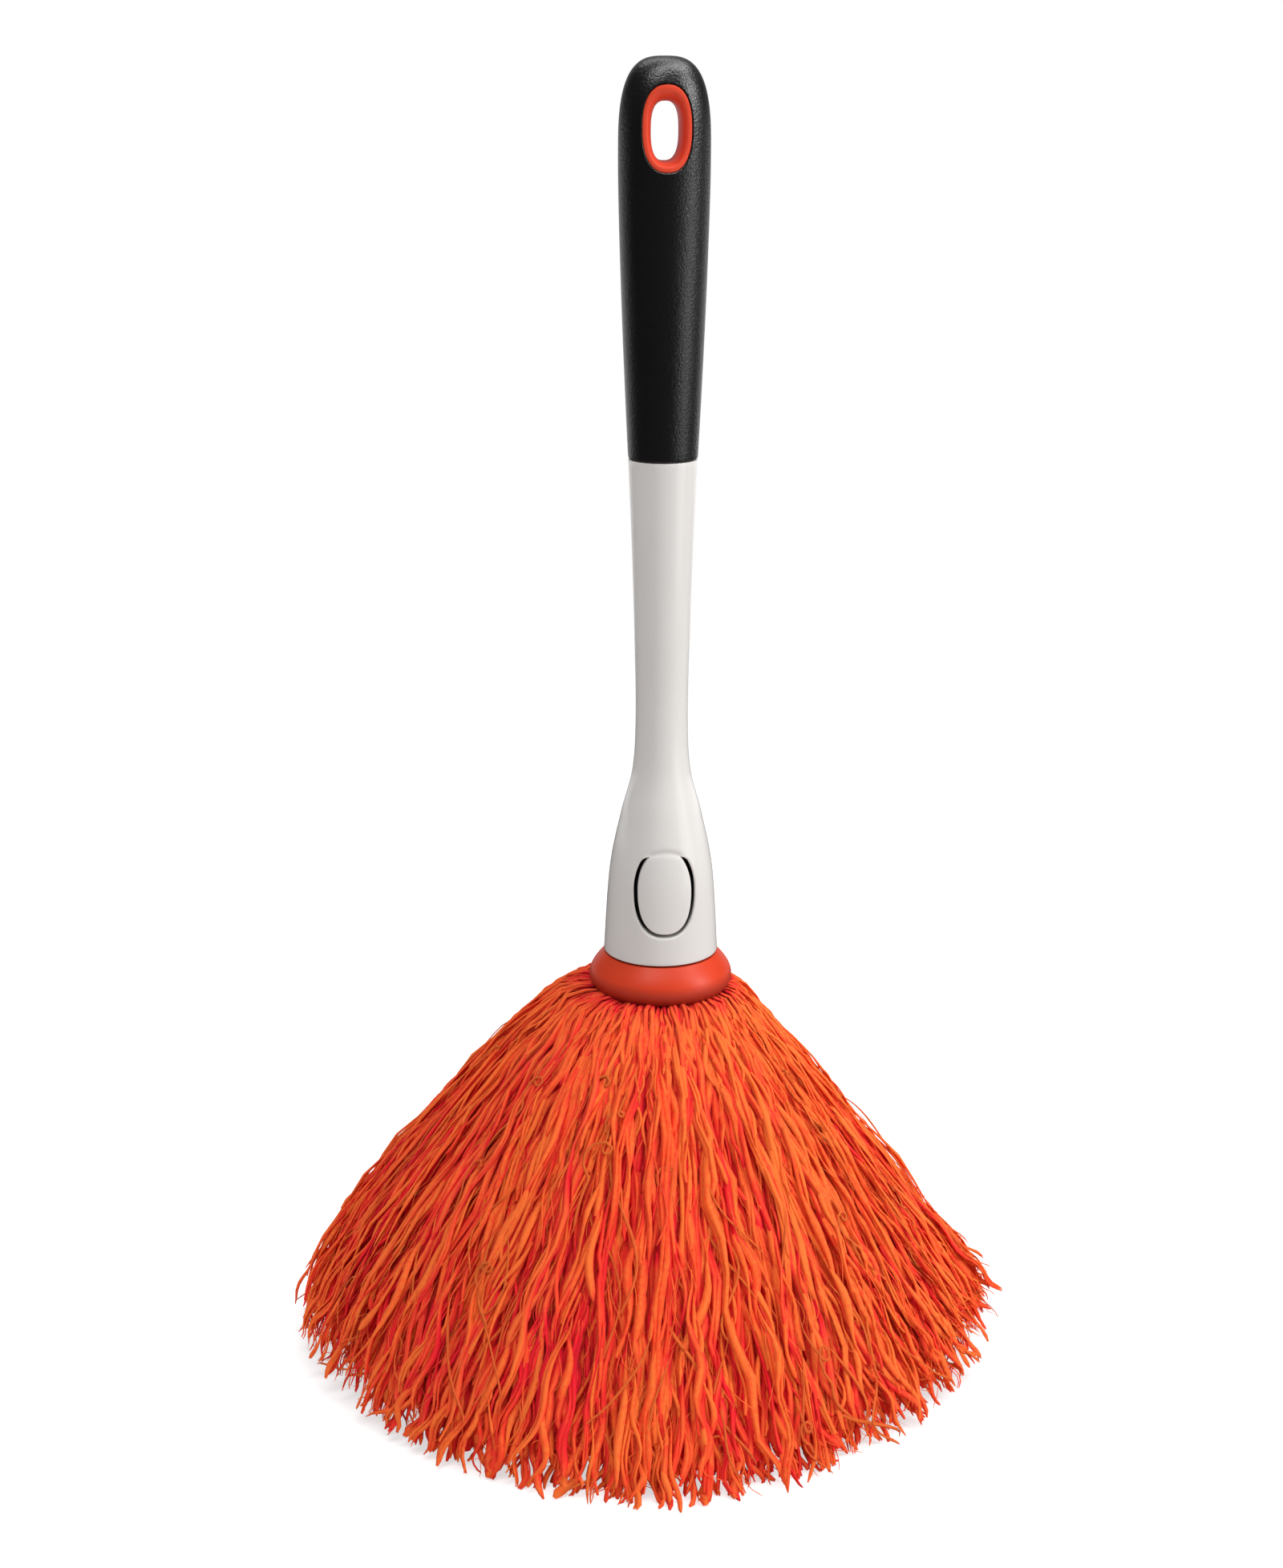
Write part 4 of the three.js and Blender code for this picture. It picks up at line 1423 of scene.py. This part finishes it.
    tufts: tuple[Tuft, ...] = (
        Tuft("strands_outer", "strand_ring_outer", 17.8, 99.2, OUTER_LAYS, piles_up=True),
        Tuft("strands_outer_under", "strand_ring_outer", 17.5, 98.8, UNDER_LAYS, piles_up=True),
        Tuft("strands_outer_short", "strand_ring_outer", 17.2, 98.6, SHORT_LAYS, 15, piles_up=True),
        Tuft("strands_outer_thread", "strand_ring_outer", 17.2, 98.6, THREAD_LAYS, 15, piles_up=True),
        Tuft("strands_outer_tips", "strand_ring_outer", 17.0, 97.0, TIP_LAYS, 15, piles_up=True),
        Tuft("strands_outer_stray", "strand_ring_outer", 17.2, 97.2, STRAY_LAYS, 20, 4),
        Tuft("strands_outer_fuzz", "strand_ring_outer", 17.2, 97.2, FUZZ_LAYS, 9, 3),
        Tuft("strands_outer_loops", "strand_ring_outer", 17.2, 97.2, LOOP_LAYS, 44, 4),
        Tuft("strands_middle", "strand_ring_middle", 15.6, 93.9, MIDDLE_LAYS),
        Tuft("strands_inner", "strand_ring_inner", 14.0, 90.2, INNER_LAYS),
        Tuft("strands_core", "strand_ring_core", 12.6, 86.9, CORE_LAYS),
    )

    def drop(
        self, turn: np.ndarray, t: np.ndarray, reach: np.ndarray, root_radius: float, root: np.ndarray | float
    ) -> tuple[np.ndarray, np.ndarray, np.ndarray]:
        """The smooth fall of a strand: a Bezier curve in an upright plane, cut back at the corners.

        Args:
            turn: The angle of the plane, 0 to the front.
            t: Shares of the fall.
            reach: How far out the tip lies.
            root_radius: How far out the root lies.
            root: The root's height.

        Returns:
            The radius, the height and the direction of the fall in the plane.
        """
        cut = np.where(np.sin(turn) > 0.0, self.right_cut, self.corner_cut)
        reach = reach - cut * np.abs(np.sin(2.0 * turn)) + self.side_reach * np.sin(turn) ** 2
        lifted = self.side_rise * np.sin(turn) ** 2 * reach / self.full_reach
        width = reach - root_radius
        controls = (
            (root_radius, root),
            (root_radius + self.shoulder[0] * width, self.shoulder[1] * root),
            (root_radius + self.fall[0] * width, self.fall[1] * root + self.early_rise * lifted),
            (root_radius + width, lifted),
        )
        radius, height = bezier(t, controls)
        ahead_radius, ahead_height = bezier(t + self.look_ahead, controls)
        run = np.stack([ahead_radius - radius, ahead_height - height], axis=-1)
        return radius, height, run / np.linalg.norm(run, axis=-1, keepdims=True)

    def puff(self, turn: np.ndarray, t: np.ndarray) -> np.ndarray:
        """How far the skirt stands out from its fall: at the root, on the left shoulder and the sides."""
        side = np.sin(turn)
        bulge = np.where(side < 0.0, self.left_bulge, self.right_bulge) * np.abs(side)
        shoulder = self.left_shoulder * np.clip(-side, 0.0, 1.0) * hump(t, self.shoulder_bands)
        filled = self.root_fill * hump(t, self.fill_bands)
        return bulge * np.sin(math.pi * np.clip(t, 0.0, 1.0) ** self.bulge_power) + shoulder + filled

    def shade(self, turn: np.ndarray, t: np.ndarray) -> np.ndarray:
        """Painted shade and light: strands are deeper in colour under the collar as a painted shadow, and
        less deep on the lit right as painted light.
        """
        painted_light_flank = self.right_open * ramp(np.sin(turn), *self.right_open_band)
        return self.root_dark * fade(t, self.root_dark_band) - painted_light_flank

    def build_bed(self) -> bpy.types.Object:
        """Makes the bed of pressed fibres under the outer locks: a thin closed shell with ridges.

        Its outer face is the smooth fall, sunk a little, with ridges that are sums of sines of the angle.
        The inner face runs back up below it, and the hem between the two is ragged in the same way.

        Returns:
            The piece.
        """
        name = "strands_outer_bed"
        columns, rows = self.bed_grid
        turn = circle(columns)[None, :]
        share = np.linspace(0.0, 1.0, rows)[:, None]
        ragged = self.hem_mean - sum(np.abs(np.sin(count * turn + start)) for count, start in self.hem_waves)
        t = np.concatenate([share, share[::-1]]) * (self.bed_end + self.bed_ragged * ragged)
        inner = (np.arange(2 * rows) >= rows)[:, None]
        crest = ripples(turn, t, self.bed_waves) / len(self.bed_waves) * ramp(t, *self.bed_band)
        level = np.where(inner, 2.0 * self.bed_level, self.bed_level + self.bed_ridge * crest)
        radius, height, run = self.drop(turn, t, np.full_like(turn, self.bed_reach), *self.bed_root)
        outward = level + self.puff(turn, t)
        out_radius = radius - run[..., 1] * outward
        shift = t**self.shift_power
        x = out_radius * np.sin(turn) + self.foot_shift[0] * shift
        y = -out_radius * np.cos(turn) + self.foot_shift[1] * shift
        z = np.maximum(height + run[..., 0] * outward, self.bed_clear)
        points = np.stack([x, y, z], axis=-1)
        ring = Patch(np.concatenate([points, points[:1]]), True)
        quads = ring.quads(0) % (2 * rows * columns)
        mesh = bpy.data.meshes.new(name)
        mesh.from_pydata((points.reshape(-1, 3) * MM).tolist(), [], quads[:, ::-1].tolist())
        # painted shade: the bed is crimson as if in the shade of the locks, lighter on its crests and darker
        # under the collar
        depth = self.bed_depth - self.bed_relief * crest + self.shade(turn, t)
        u = (np.arange(2 * rows)[:, None, None] + CORNERS_ALONG) / (self.bed_strip * rows)
        v = (np.arange(columns)[None, :, None] + CORNERS_ACROSS) / columns
        flat = np.stack(np.broadcast_arrays(u, v), axis=-1)[..., ::-1, :]
        # painted light: the tone is brighter on the crests
        carry(mesh, self.bed_tone[0] + self.bed_tone[1] * crest, depth, flat)
        return link(name, mesh, self.bed_sharp)

    def filaments(self, tuft: Tuft, lay: Lay, dice: np.random.Generator) -> Bundle:
        """Works out the middle lines of every filament of a lay, and the tubes round them.

        A lock follows a Bezier curve in its own upright plane, strays sideways and waves as it falls.
        Its filaments wind round it, swell and narrow in turn, and come to a point at the tip.
        A curl adds one turn of a circle half way along.

        Args:
            tuft: The tuft that the lay is in.
            lay: How the locks lie.
            dice: The source of chance.

        Returns:
            The filaments.
        """
        locks, each = lay.locks, lay.filaments
        total = locks * each

        def lot(pair: Pair, count: int) -> np.ndarray:
            """Even chance between two values, with a last axis for the steps."""
            return dice.uniform(*pair, (count, 1))

        def bell(width: float, count: int) -> np.ndarray:
            """Chance that bunches about 0."""
            return dice.normal(0.0, width, (count, 1))

        def spread(values: np.ndarray) -> np.ndarray:
            """Repeats a lock's value for each of its filaments."""
            return np.repeat(values, each, axis=0)

        def wave(pair: Pair, where: np.ndarray) -> np.ndarray:
            """A sine wave of each lock's own height, length and start."""
            height, turns, start = lot(pair, locks), lot(lay.waves, locks), lot((0.0, TURN), locks)
            return spread(height) * np.sin(TURN * spread(turns) * where + spread(start))

        # What chance decides for each lock and each filament
        turn = spread((np.arange(locks)[:, None] + lot(self.jitter, locks)) / locks * TURN)
        lean = spread(np.radians(bell(lay.stray, locks)))
        reach = spread(lay.reach + lot(self.reach_spread, locks))
        first, last = lay.begins
        begins = first + (last - first) * spread(lot((0.0, 1.0), locks) ** self.begin_power)
        ends = begins + spread(lot(lay.span, locks)) if lay.span else spread(lot(lay.ends, locks))
        ends = np.maximum(begins + self.shortest, ends - lot(self.stagger, total))
        ends = np.minimum(ends, self.furthest)
        girth, twist = spread(lot(lay.girth, locks)), spread(lot(self.twist, locks))
        lift = spread(lot(lay.lift, locks))
        tint = spread(lot(lay.tone, locks)) + lot(self.tint, total)
        root = tuft.root_height + spread(lot(self.root_spread, locks))
        hook, nod = spread(bell(lay.hook, locks)), spread(bell(lay.hook * self.nod, locks))
        thickness = lot(lay.thickness, total)

        # The lock's fall, and where each filament lies in it
        share = np.linspace(0.0, 1.0, tuft.steps)[None, :]
        t = begins + share * (ends - begins)
        radius, height, run = self.drop(turn, t, reach, tuft.root_radius, root)
        up_radius, up_height = -run[..., 1], run[..., 0]
        order = np.tile(np.arange(each), locks)[:, None]
        off = np.sqrt((order + 0.5) / each) * (1.0 + bell(self.off_spread, total))
        angle = order * GOLDEN_ANGLE + lot(self.angle_spread, total) + twist * t
        wide = girth * rise(self.tied, t, self.tied_band) * (1.0 - self.close * ramp(share, *self.close_band))

        # Bunches of locks, which draw together sideways and stand up along their middle
        gather = ramp(t, *self.gather_band) + self.tip_gather * ramp(t, *self.tip_gather_band)
        gather = lay.bunch * gather
        phase, finer = (
            count * turn + drift * t + ripples(turn, t, (wander,))
            for count, drift, wander in zip(self.bunches, self.bunch_drift, self.bunch_wander)
        )
        sway = ripples(turn, t, self.sway) * ramp(t, *self.sway_band)
        sway = sway - gather * (self.bunch_width[0] * np.sin(phase) + self.bunch_width[1] * np.sin(finer))
        crest = gather * (self.bunch_crest[0] * np.cos(phase) + self.bunch_crest[1] * np.cos(finer))

        # How far the filament leaves the fall: sideways, outwards and, in a curl, back along it
        grow = ramp(t, *self.wave_band)
        tip = ramp(share, *self.hook_band) ** 2 * ramp(t, *self.hook_fall)
        sideways = wide * off * np.cos(angle) * self.lock_section[0]
        sideways = sideways + grow * wave(lay.side_wave, t) + sway + hook * tip
        outward = wide * off * np.sin(angle) * self.lock_section[1]
        outward = outward + grow * wave(lay.lift_wave, t) + nod * tip
        dive = lay.dive * (1.0 - np.sin(math.pi * share)) * fade(t, self.dive_band)
        level = outward + lift * ramp(t, *self.lift_band) - dive + crest
        outward = level + self.puff(turn, t)
        size = spread(lot(lay.curl, locks))
        curl = TURN * ramp(share, *self.curl_band)
        sideways = sideways + size * spread(lot(self.curl_width, locks)) * np.sin(curl)
        back = size * (1.0 - np.cos(curl))

        # The middle line and the tube round it
        taper = 1.0 - self.tip_taper * ramp(share, *self.tip_taper_band)
        if lay.span:
            taper = taper * rise(self.start_thin, share, self.start_thin_band)
        swell = np.sin(TURN * lot(self.swells, total) * t + lot((0.0, TURN), total))
        half = thickness * rise(self.root_thin, t, self.root_thin_band) * (1.0 + lay.swell * swell) * taper
        around = turn + lean * (t**self.shift_power - begins**self.shift_power)
        cosine, sine = np.cos(around), np.sin(around)
        out_radius = radius + up_radius * outward - back * run[..., 0]
        shift = t**self.shift_power
        x = out_radius * sine + sideways * cosine + self.foot_shift[0] * shift
        y = -out_radius * cosine + sideways * sine + self.foot_shift[1] * shift
        z = np.maximum(height + up_height * outward - back * run[..., 1], half)
        middle = np.stack([x, y, z], axis=-1)
        away = np.stack([up_radius * sine, -up_radius * cosine, up_height], axis=-1)
        across = np.cross(away, np.gradient(middle, axis=1))
        across /= np.linalg.norm(across, axis=-1, keepdims=True)
        corner = np.linspace(0.0, TURN, tuft.sides, endpoint=False)
        beside, above = np.cos(corner), self.flatness * np.sin(corner)
        rim = across[..., None, :] * beside[:, None] + away[..., None, :] * above[:, None]
        points = middle[..., None, :] + half[..., None, None] * rim
        points[..., 2] = np.maximum(points[..., 2], self.table_clear)
        normal = rim + self.soft_normal * (away[..., None, :] - rim)
        normal /= np.linalg.norm(normal, axis=-1, keepdims=True)

        # What its colour goes by: tone by chance and as painted light, depth as painted shade
        level = level[..., None] + half[..., None] * above
        spin = (around + sideways / out_radius)[..., None] + (half / out_radius)[..., None] * beside
        tone = (tint + self.root_tone * fade(t, self.root_tone_band))[..., None]
        # painted light: filaments higher in the pile get the brighter orange
        tone = tone + self.lit_share * ramp(level, *self.lit_level)
        patch = ripples(turn, t, self.patches) * ramp(t, *self.patch_band)
        # painted shade under the collar, between bunches and on each filament's inner side; painted light on
        # the right and on bunch crests
        depth = lay.depth + self.shade(turn, t) + patch - self.bunch_deep * gather * np.cos(phase)
        depth = depth[..., None] + self.edge_deep * (0.5 - 0.5 * np.sin(corner))
        return Bundle(points, normal, tone, depth, level, spin, np.broadcast_to(t[..., None], spin.shape))

    def build_tuft(self, tuft: Tuft, bundle: Bundle, pile: Pile) -> bpy.types.Object:
        """Makes one mesh of all filaments of a tuft: tubes of a few sides, closed at both ends.

        Args:
            tuft: The tuft.
            bundle: Its filaments.
            pile: How high the strands stand round them.

        Returns:
            The piece.
        """
        points = bundle.points
        # painted shade from the pile: points shut in by their neighbours get the crimson of the gaps, less so
        # towards the tips
        shown = 1.0 - self.tip_show * ramp(bundle.fall, *self.tip_show_band)
        shut = pile.shut(bundle, self.near, self.wide)
        hidden = np.clip(shut / self.open_shut, 0.0, 1.0)
        depth = np.minimum(bundle.depth, self.open_depth + hidden) + self.deep_share * shown * shut
        count, steps, sides = points.shape[:3]
        number = np.arange(count * steps * sides).reshape(count, steps, sides)
        beside = np.roll(number, -1, axis=2)
        walls = np.stack([number[:, :-1], beside[:, :-1], beside[:, 1:], number[:, 1:]], axis=-1)
        walls = walls.reshape(-1, 4)
        caps = np.concatenate([number[:, 0, ::-1], number[:, -1]])
        corners = np.concatenate([walls.ravel(), caps.ravel()])
        sizes = np.concatenate([np.full(len(walls), 4), np.full(len(caps), sides)])
        mesh = bpy.data.meshes.new(tuft.name)
        mesh.vertices.add(points.size // 3)
        mesh.vertices.foreach_set("co", (points.reshape(-1) * MM).astype(np.float32))
        mesh.loops.add(len(corners))
        mesh.loops.foreach_set("vertex_index", corners.astype(np.int32))
        mesh.polygons.add(len(sizes))
        starts = np.concatenate([[0], np.cumsum(sizes)[:-1]])
        mesh.polygons.foreach_set("loop_start", starts.astype(np.int32))
        mesh.update(calc_edges=True)
        carry(mesh, bundle.tone, depth, self.strips(count, steps, sides))
        mesh.polygons.foreach_set("use_smooth", np.ones(len(mesh.polygons), dtype=bool))
        mesh.normals_split_custom_set_from_vertices(bundle.normals.reshape(-1, 3))
        return enter(tuft.name, mesh)

    def strips(self, count: int, steps: int, sides: int) -> np.ndarray:
        """Lays the filaments out flat, each as a narrow strip, in a few columns.

        Args:
            count: How many filaments there are.
            steps: Rings along each.
            sides: Sides of each.

        Returns:
            A place in the unit square for each corner of each face: the walls first, then the end caps.
        """
        rows = math.ceil(count / self.strip_columns)
        which = np.arange(count)[:, None, None, None]
        along = (np.arange(steps - 1)[:, None, None] + CORNERS_ALONG) / (steps - 1)
        round_it = (np.arange(sides)[:, None] + CORNERS_ACROSS) / sides
        end, edge = self.strip_margin
        u = (which % self.strip_columns + end + (1.0 - 2.0 * end) * along) / self.strip_columns
        v = (which // self.strip_columns + edge + (1.0 - 2.0 * edge) * round_it) / rows
        walls = np.stack(np.broadcast_arrays(u, v), axis=-1).reshape(count, -1, 2)
        caps = walls[:, [0, -1]].transpose(1, 0, 2).reshape(-1, 2)
        return np.concatenate([walls.reshape(-1, 2), np.repeat(caps, sides, axis=0)])

    def dress(self) -> None:
        """Builds and dresses every tuft of strands."""
        dice = np.random.default_rng(self.seed)
        material = MicrofiberFinish().make()
        bundles = [
            Bundle.joined([self.filaments(tuft, lay, dice) for lay in tuft.lays]) for tuft in self.tufts
        ]
        pile = Pile()
        for tuft, bundle in zip(self.tufts, bundles):
            if tuft.piles_up:
                pile.add(bundle)
        Piece(self.build_bed(), Body.HEAD, "strands", ("strand_ring_outer",)).settle(material)
        for tuft, bundle in zip(self.tufts, bundles):
            made = self.build_tuft(tuft, bundle, pile)
            Piece(made, Body.HEAD, "strands", (tuft.node,)).settle(material)


@dataclass
class Lamp:
    """A soft box: where it stands, where it points, how wide it is and how strong, in metres and watts."""

    name: str
    place: tuple[float, float, float]
    aim: tuple[float, float, float]
    width: float
    height: float
    watts: float

    def hang(self) -> None:
        """Makes the lamp."""
        data = bpy.data.lights.new(self.name, "AREA")
        data.shape = "RECTANGLE"
        data.size = self.width
        data.size_y = self.height
        data.energy = self.watts
        lamp = enter(self.name, data)
        lamp.location = self.place
        lamp.rotation_euler = (Vector(self.aim) - Vector(self.place)).to_track_quat("-Z", "Y").to_euler()


@dataclass
class Studio:
    """The pale floor, the soft lamps, the white surroundings and the camera."""

    azimuth: float = -4.7
    pitch: float = 16.5
    distance: float = 0.6445
    eye_height: float = 0.348
    yaw: float = 0.48
    roll: float = 0.15
    lens: float = 56.7
    sensor: float = 36.0
    nearest: float = 0.01
    bounces: int = 20
    floor_half: float = 6.0
    floor_colour: Colour = (0.50, 0.50, 0.50)
    floor_bounce: Colour = (0.78, 0.78, 0.78)
    floor_glow: float = 0.62
    floor_dim: Colour = (0.05, 0.05, 0.05)
    dim_band: Pair = (1.2, 0.6)
    white_away: Pair = (0.28, 0.75)
    white_back: Pair = (-0.25, 0.1)
    plain_away: Pair = (0.7, 1.2)
    world_strength: float = 0.4
    world_band: Pair = (0.7, 0.98)
    world_gloss: Pair = (0.04, 0.5)
    lamps: tuple[Lamp, ...] = (
        Lamp("key_right", (1.28, -0.46, 0.81), (0.0, 0.0, 0.17), 0.26, 0.62, 7.8),
        Lamp("top_box", (0.15, -0.29, 1.32), (0.0, 0.0, 0.15), 1.90, 0.30, 12.2),
        Lamp("top_back", (0.10, 0.42, 1.25), (0.0, 0.0, 0.10), 1.60, 0.40, 5.8),
        Lamp("card_right", (0.65, -0.37, 0.16), (0.0, 0.0, 0.20), 0.42, 0.30, 0.55),
        Lamp("strip_high", (0.81, -0.43, 1.07), (0.0, 0.0, 0.15), 0.05, 0.4, 1.6),
    )

    def rays(self, bench: Bench) -> list[Wire]:
        """1 for rays that show the surroundings themselves: from the camera, in gloss and through glass."""
        names = ("Is Camera Ray", "Is Glossy Ray", "Is Transmission Ray")
        return [bench.node("ShaderNodeLightPath", {}, {}, name) for name in names]

    def build_floor(self) -> None:
        """Lays the floor: pale with the object's shadow near the object, and white further off.

        Rays that show the floor see a faint glow on it, and beyond the shadow it turns to plain white.
        In gloss, the floor in front of the object is dim, as in a studio whose front is dark.
        """
        half = self.floor_half
        mesh = bpy.data.meshes.new("floor")
        corners = [(-half, -half, 0.0), (half, -half, 0.0), (half, half, 0.0), (-half, half, 0.0)]
        mesh.from_pydata(corners, [], [(0, 1, 2, 3)])
        floor = enter("floor", mesh)
        material, bench = new_bench("floor_pale")
        camera, gloss, glass = self.rays(bench)
        seen = (camera + gloss + glass).clamped()
        where = bench.place()
        back = bench.part(where, "Y")
        dim = gloss * bench.spread(back, *self.dim_band, 0.0, 1.0)
        shows = seen * (1.0 - dim)
        colour = bench.blend(seen, self.floor_bounce, self.floor_colour)
        colour = bench.blend(dim, colour, self.floor_dim)
        diffuse = bench.node("ShaderNodeBsdfDiffuse", {}, {"Color": colour})
        glow = bench.node("ShaderNodeEmission", {}, {"Color": WHITE, "Strength": shows * self.floor_glow})
        near = bench.node("ShaderNodeAddShader", {}, {0: diffuse, 1: glow})
        white = bench.node("ShaderNodeEmission", {}, {"Color": WHITE, "Strength": 1.0})
        away = bench.node("ShaderNodeVectorMath", {"operation": "LENGTH"}, {0: where}, "Value")
        far = bench.spread(away, *self.white_away, 0.0, 1.0) * bench.spread(back, *self.white_back, 0.0, 1.0)
        far = (far + camera * bench.spread(away, *self.plain_away, 0.0, 1.0)).clamped()
        both = bench.node("ShaderNodeMixShader", {}, {0: far * shows, 1: near, 2: white})
        bench.node("ShaderNodeOutputMaterial", {}, {"Surface": both})
        mesh.materials.append(material)

    def build_world(self) -> None:
        """Makes the surroundings white to look at, dim in gloss, and a soft even light elsewhere."""
        world = bpy.data.worlds.new("studio_white")
        world.use_nodes = True
        bpy.context.scene.world = world
        bench = Bench(world.node_tree)
        camera, gloss, glass = self.rays(bench)
        towards = bench.node("ShaderNodeTexCoord", {}, {}, "Generated")
        shown = bench.spread(bench.part(towards, "Y"), *self.world_band, *self.world_gloss)
        other = self.world_strength + gloss * (shown - self.world_strength)
        white = (camera + glass).clamped()
        strength = white + (1.0 - white) * other
        glow = bench.node("ShaderNodeBackground", {}, {"Color": WHITE, "Strength": strength})
        bench.node("ShaderNodeOutputWorld", {}, {"Surface": glow})

    def build_camera(self) -> None:
        """Sets the camera at the photograph's angle."""
        data = bpy.data.cameras.new("camera")
        data.sensor_width = self.sensor
        data.lens = self.lens
        data.clip_start = self.nearest
        camera = enter("camera", data)
        turn = math.radians(self.azimuth)
        place = Vector((math.sin(turn) * self.distance, -math.cos(turn) * self.distance, self.eye_height))
        heading = Matrix.Rotation(turn + math.radians(self.yaw), 4, "Z")
        tilt = Matrix.Rotation(math.radians(90.0 - self.pitch), 4, "X")
        bank = Matrix.Rotation(math.radians(self.roll), 4, "Z")
        camera.matrix_world = Matrix.Translation(place) @ heading @ tilt @ bank
        bpy.context.scene.camera = camera

    def build(self) -> None:
        """Builds the whole studio."""
        self.build_floor()
        self.build_world()
        self.build_camera()
        for lamp in self.lamps:
            lamp.hang()
        bpy.context.scene.view_settings.view_transform = "Standard"
        paths = bpy.context.scene.cycles
        paths.max_bounces = self.bounces
        paths.diffuse_bounces = self.bounces
        paths.transmission_bounces = self.bounces


def main() -> None:
    """Builds the sub-assemblies in order."""
    logging.basicConfig(level=logging.INFO, format="%(name)s: %(message)s")
    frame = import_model()
    Studio().build()
    Grip().dress()
    Neck().dress()
    Head().dress(frame)
    Skirt().dress()
    bpy.context.view_layer.update()


if __name__ == "__main__":
    main()
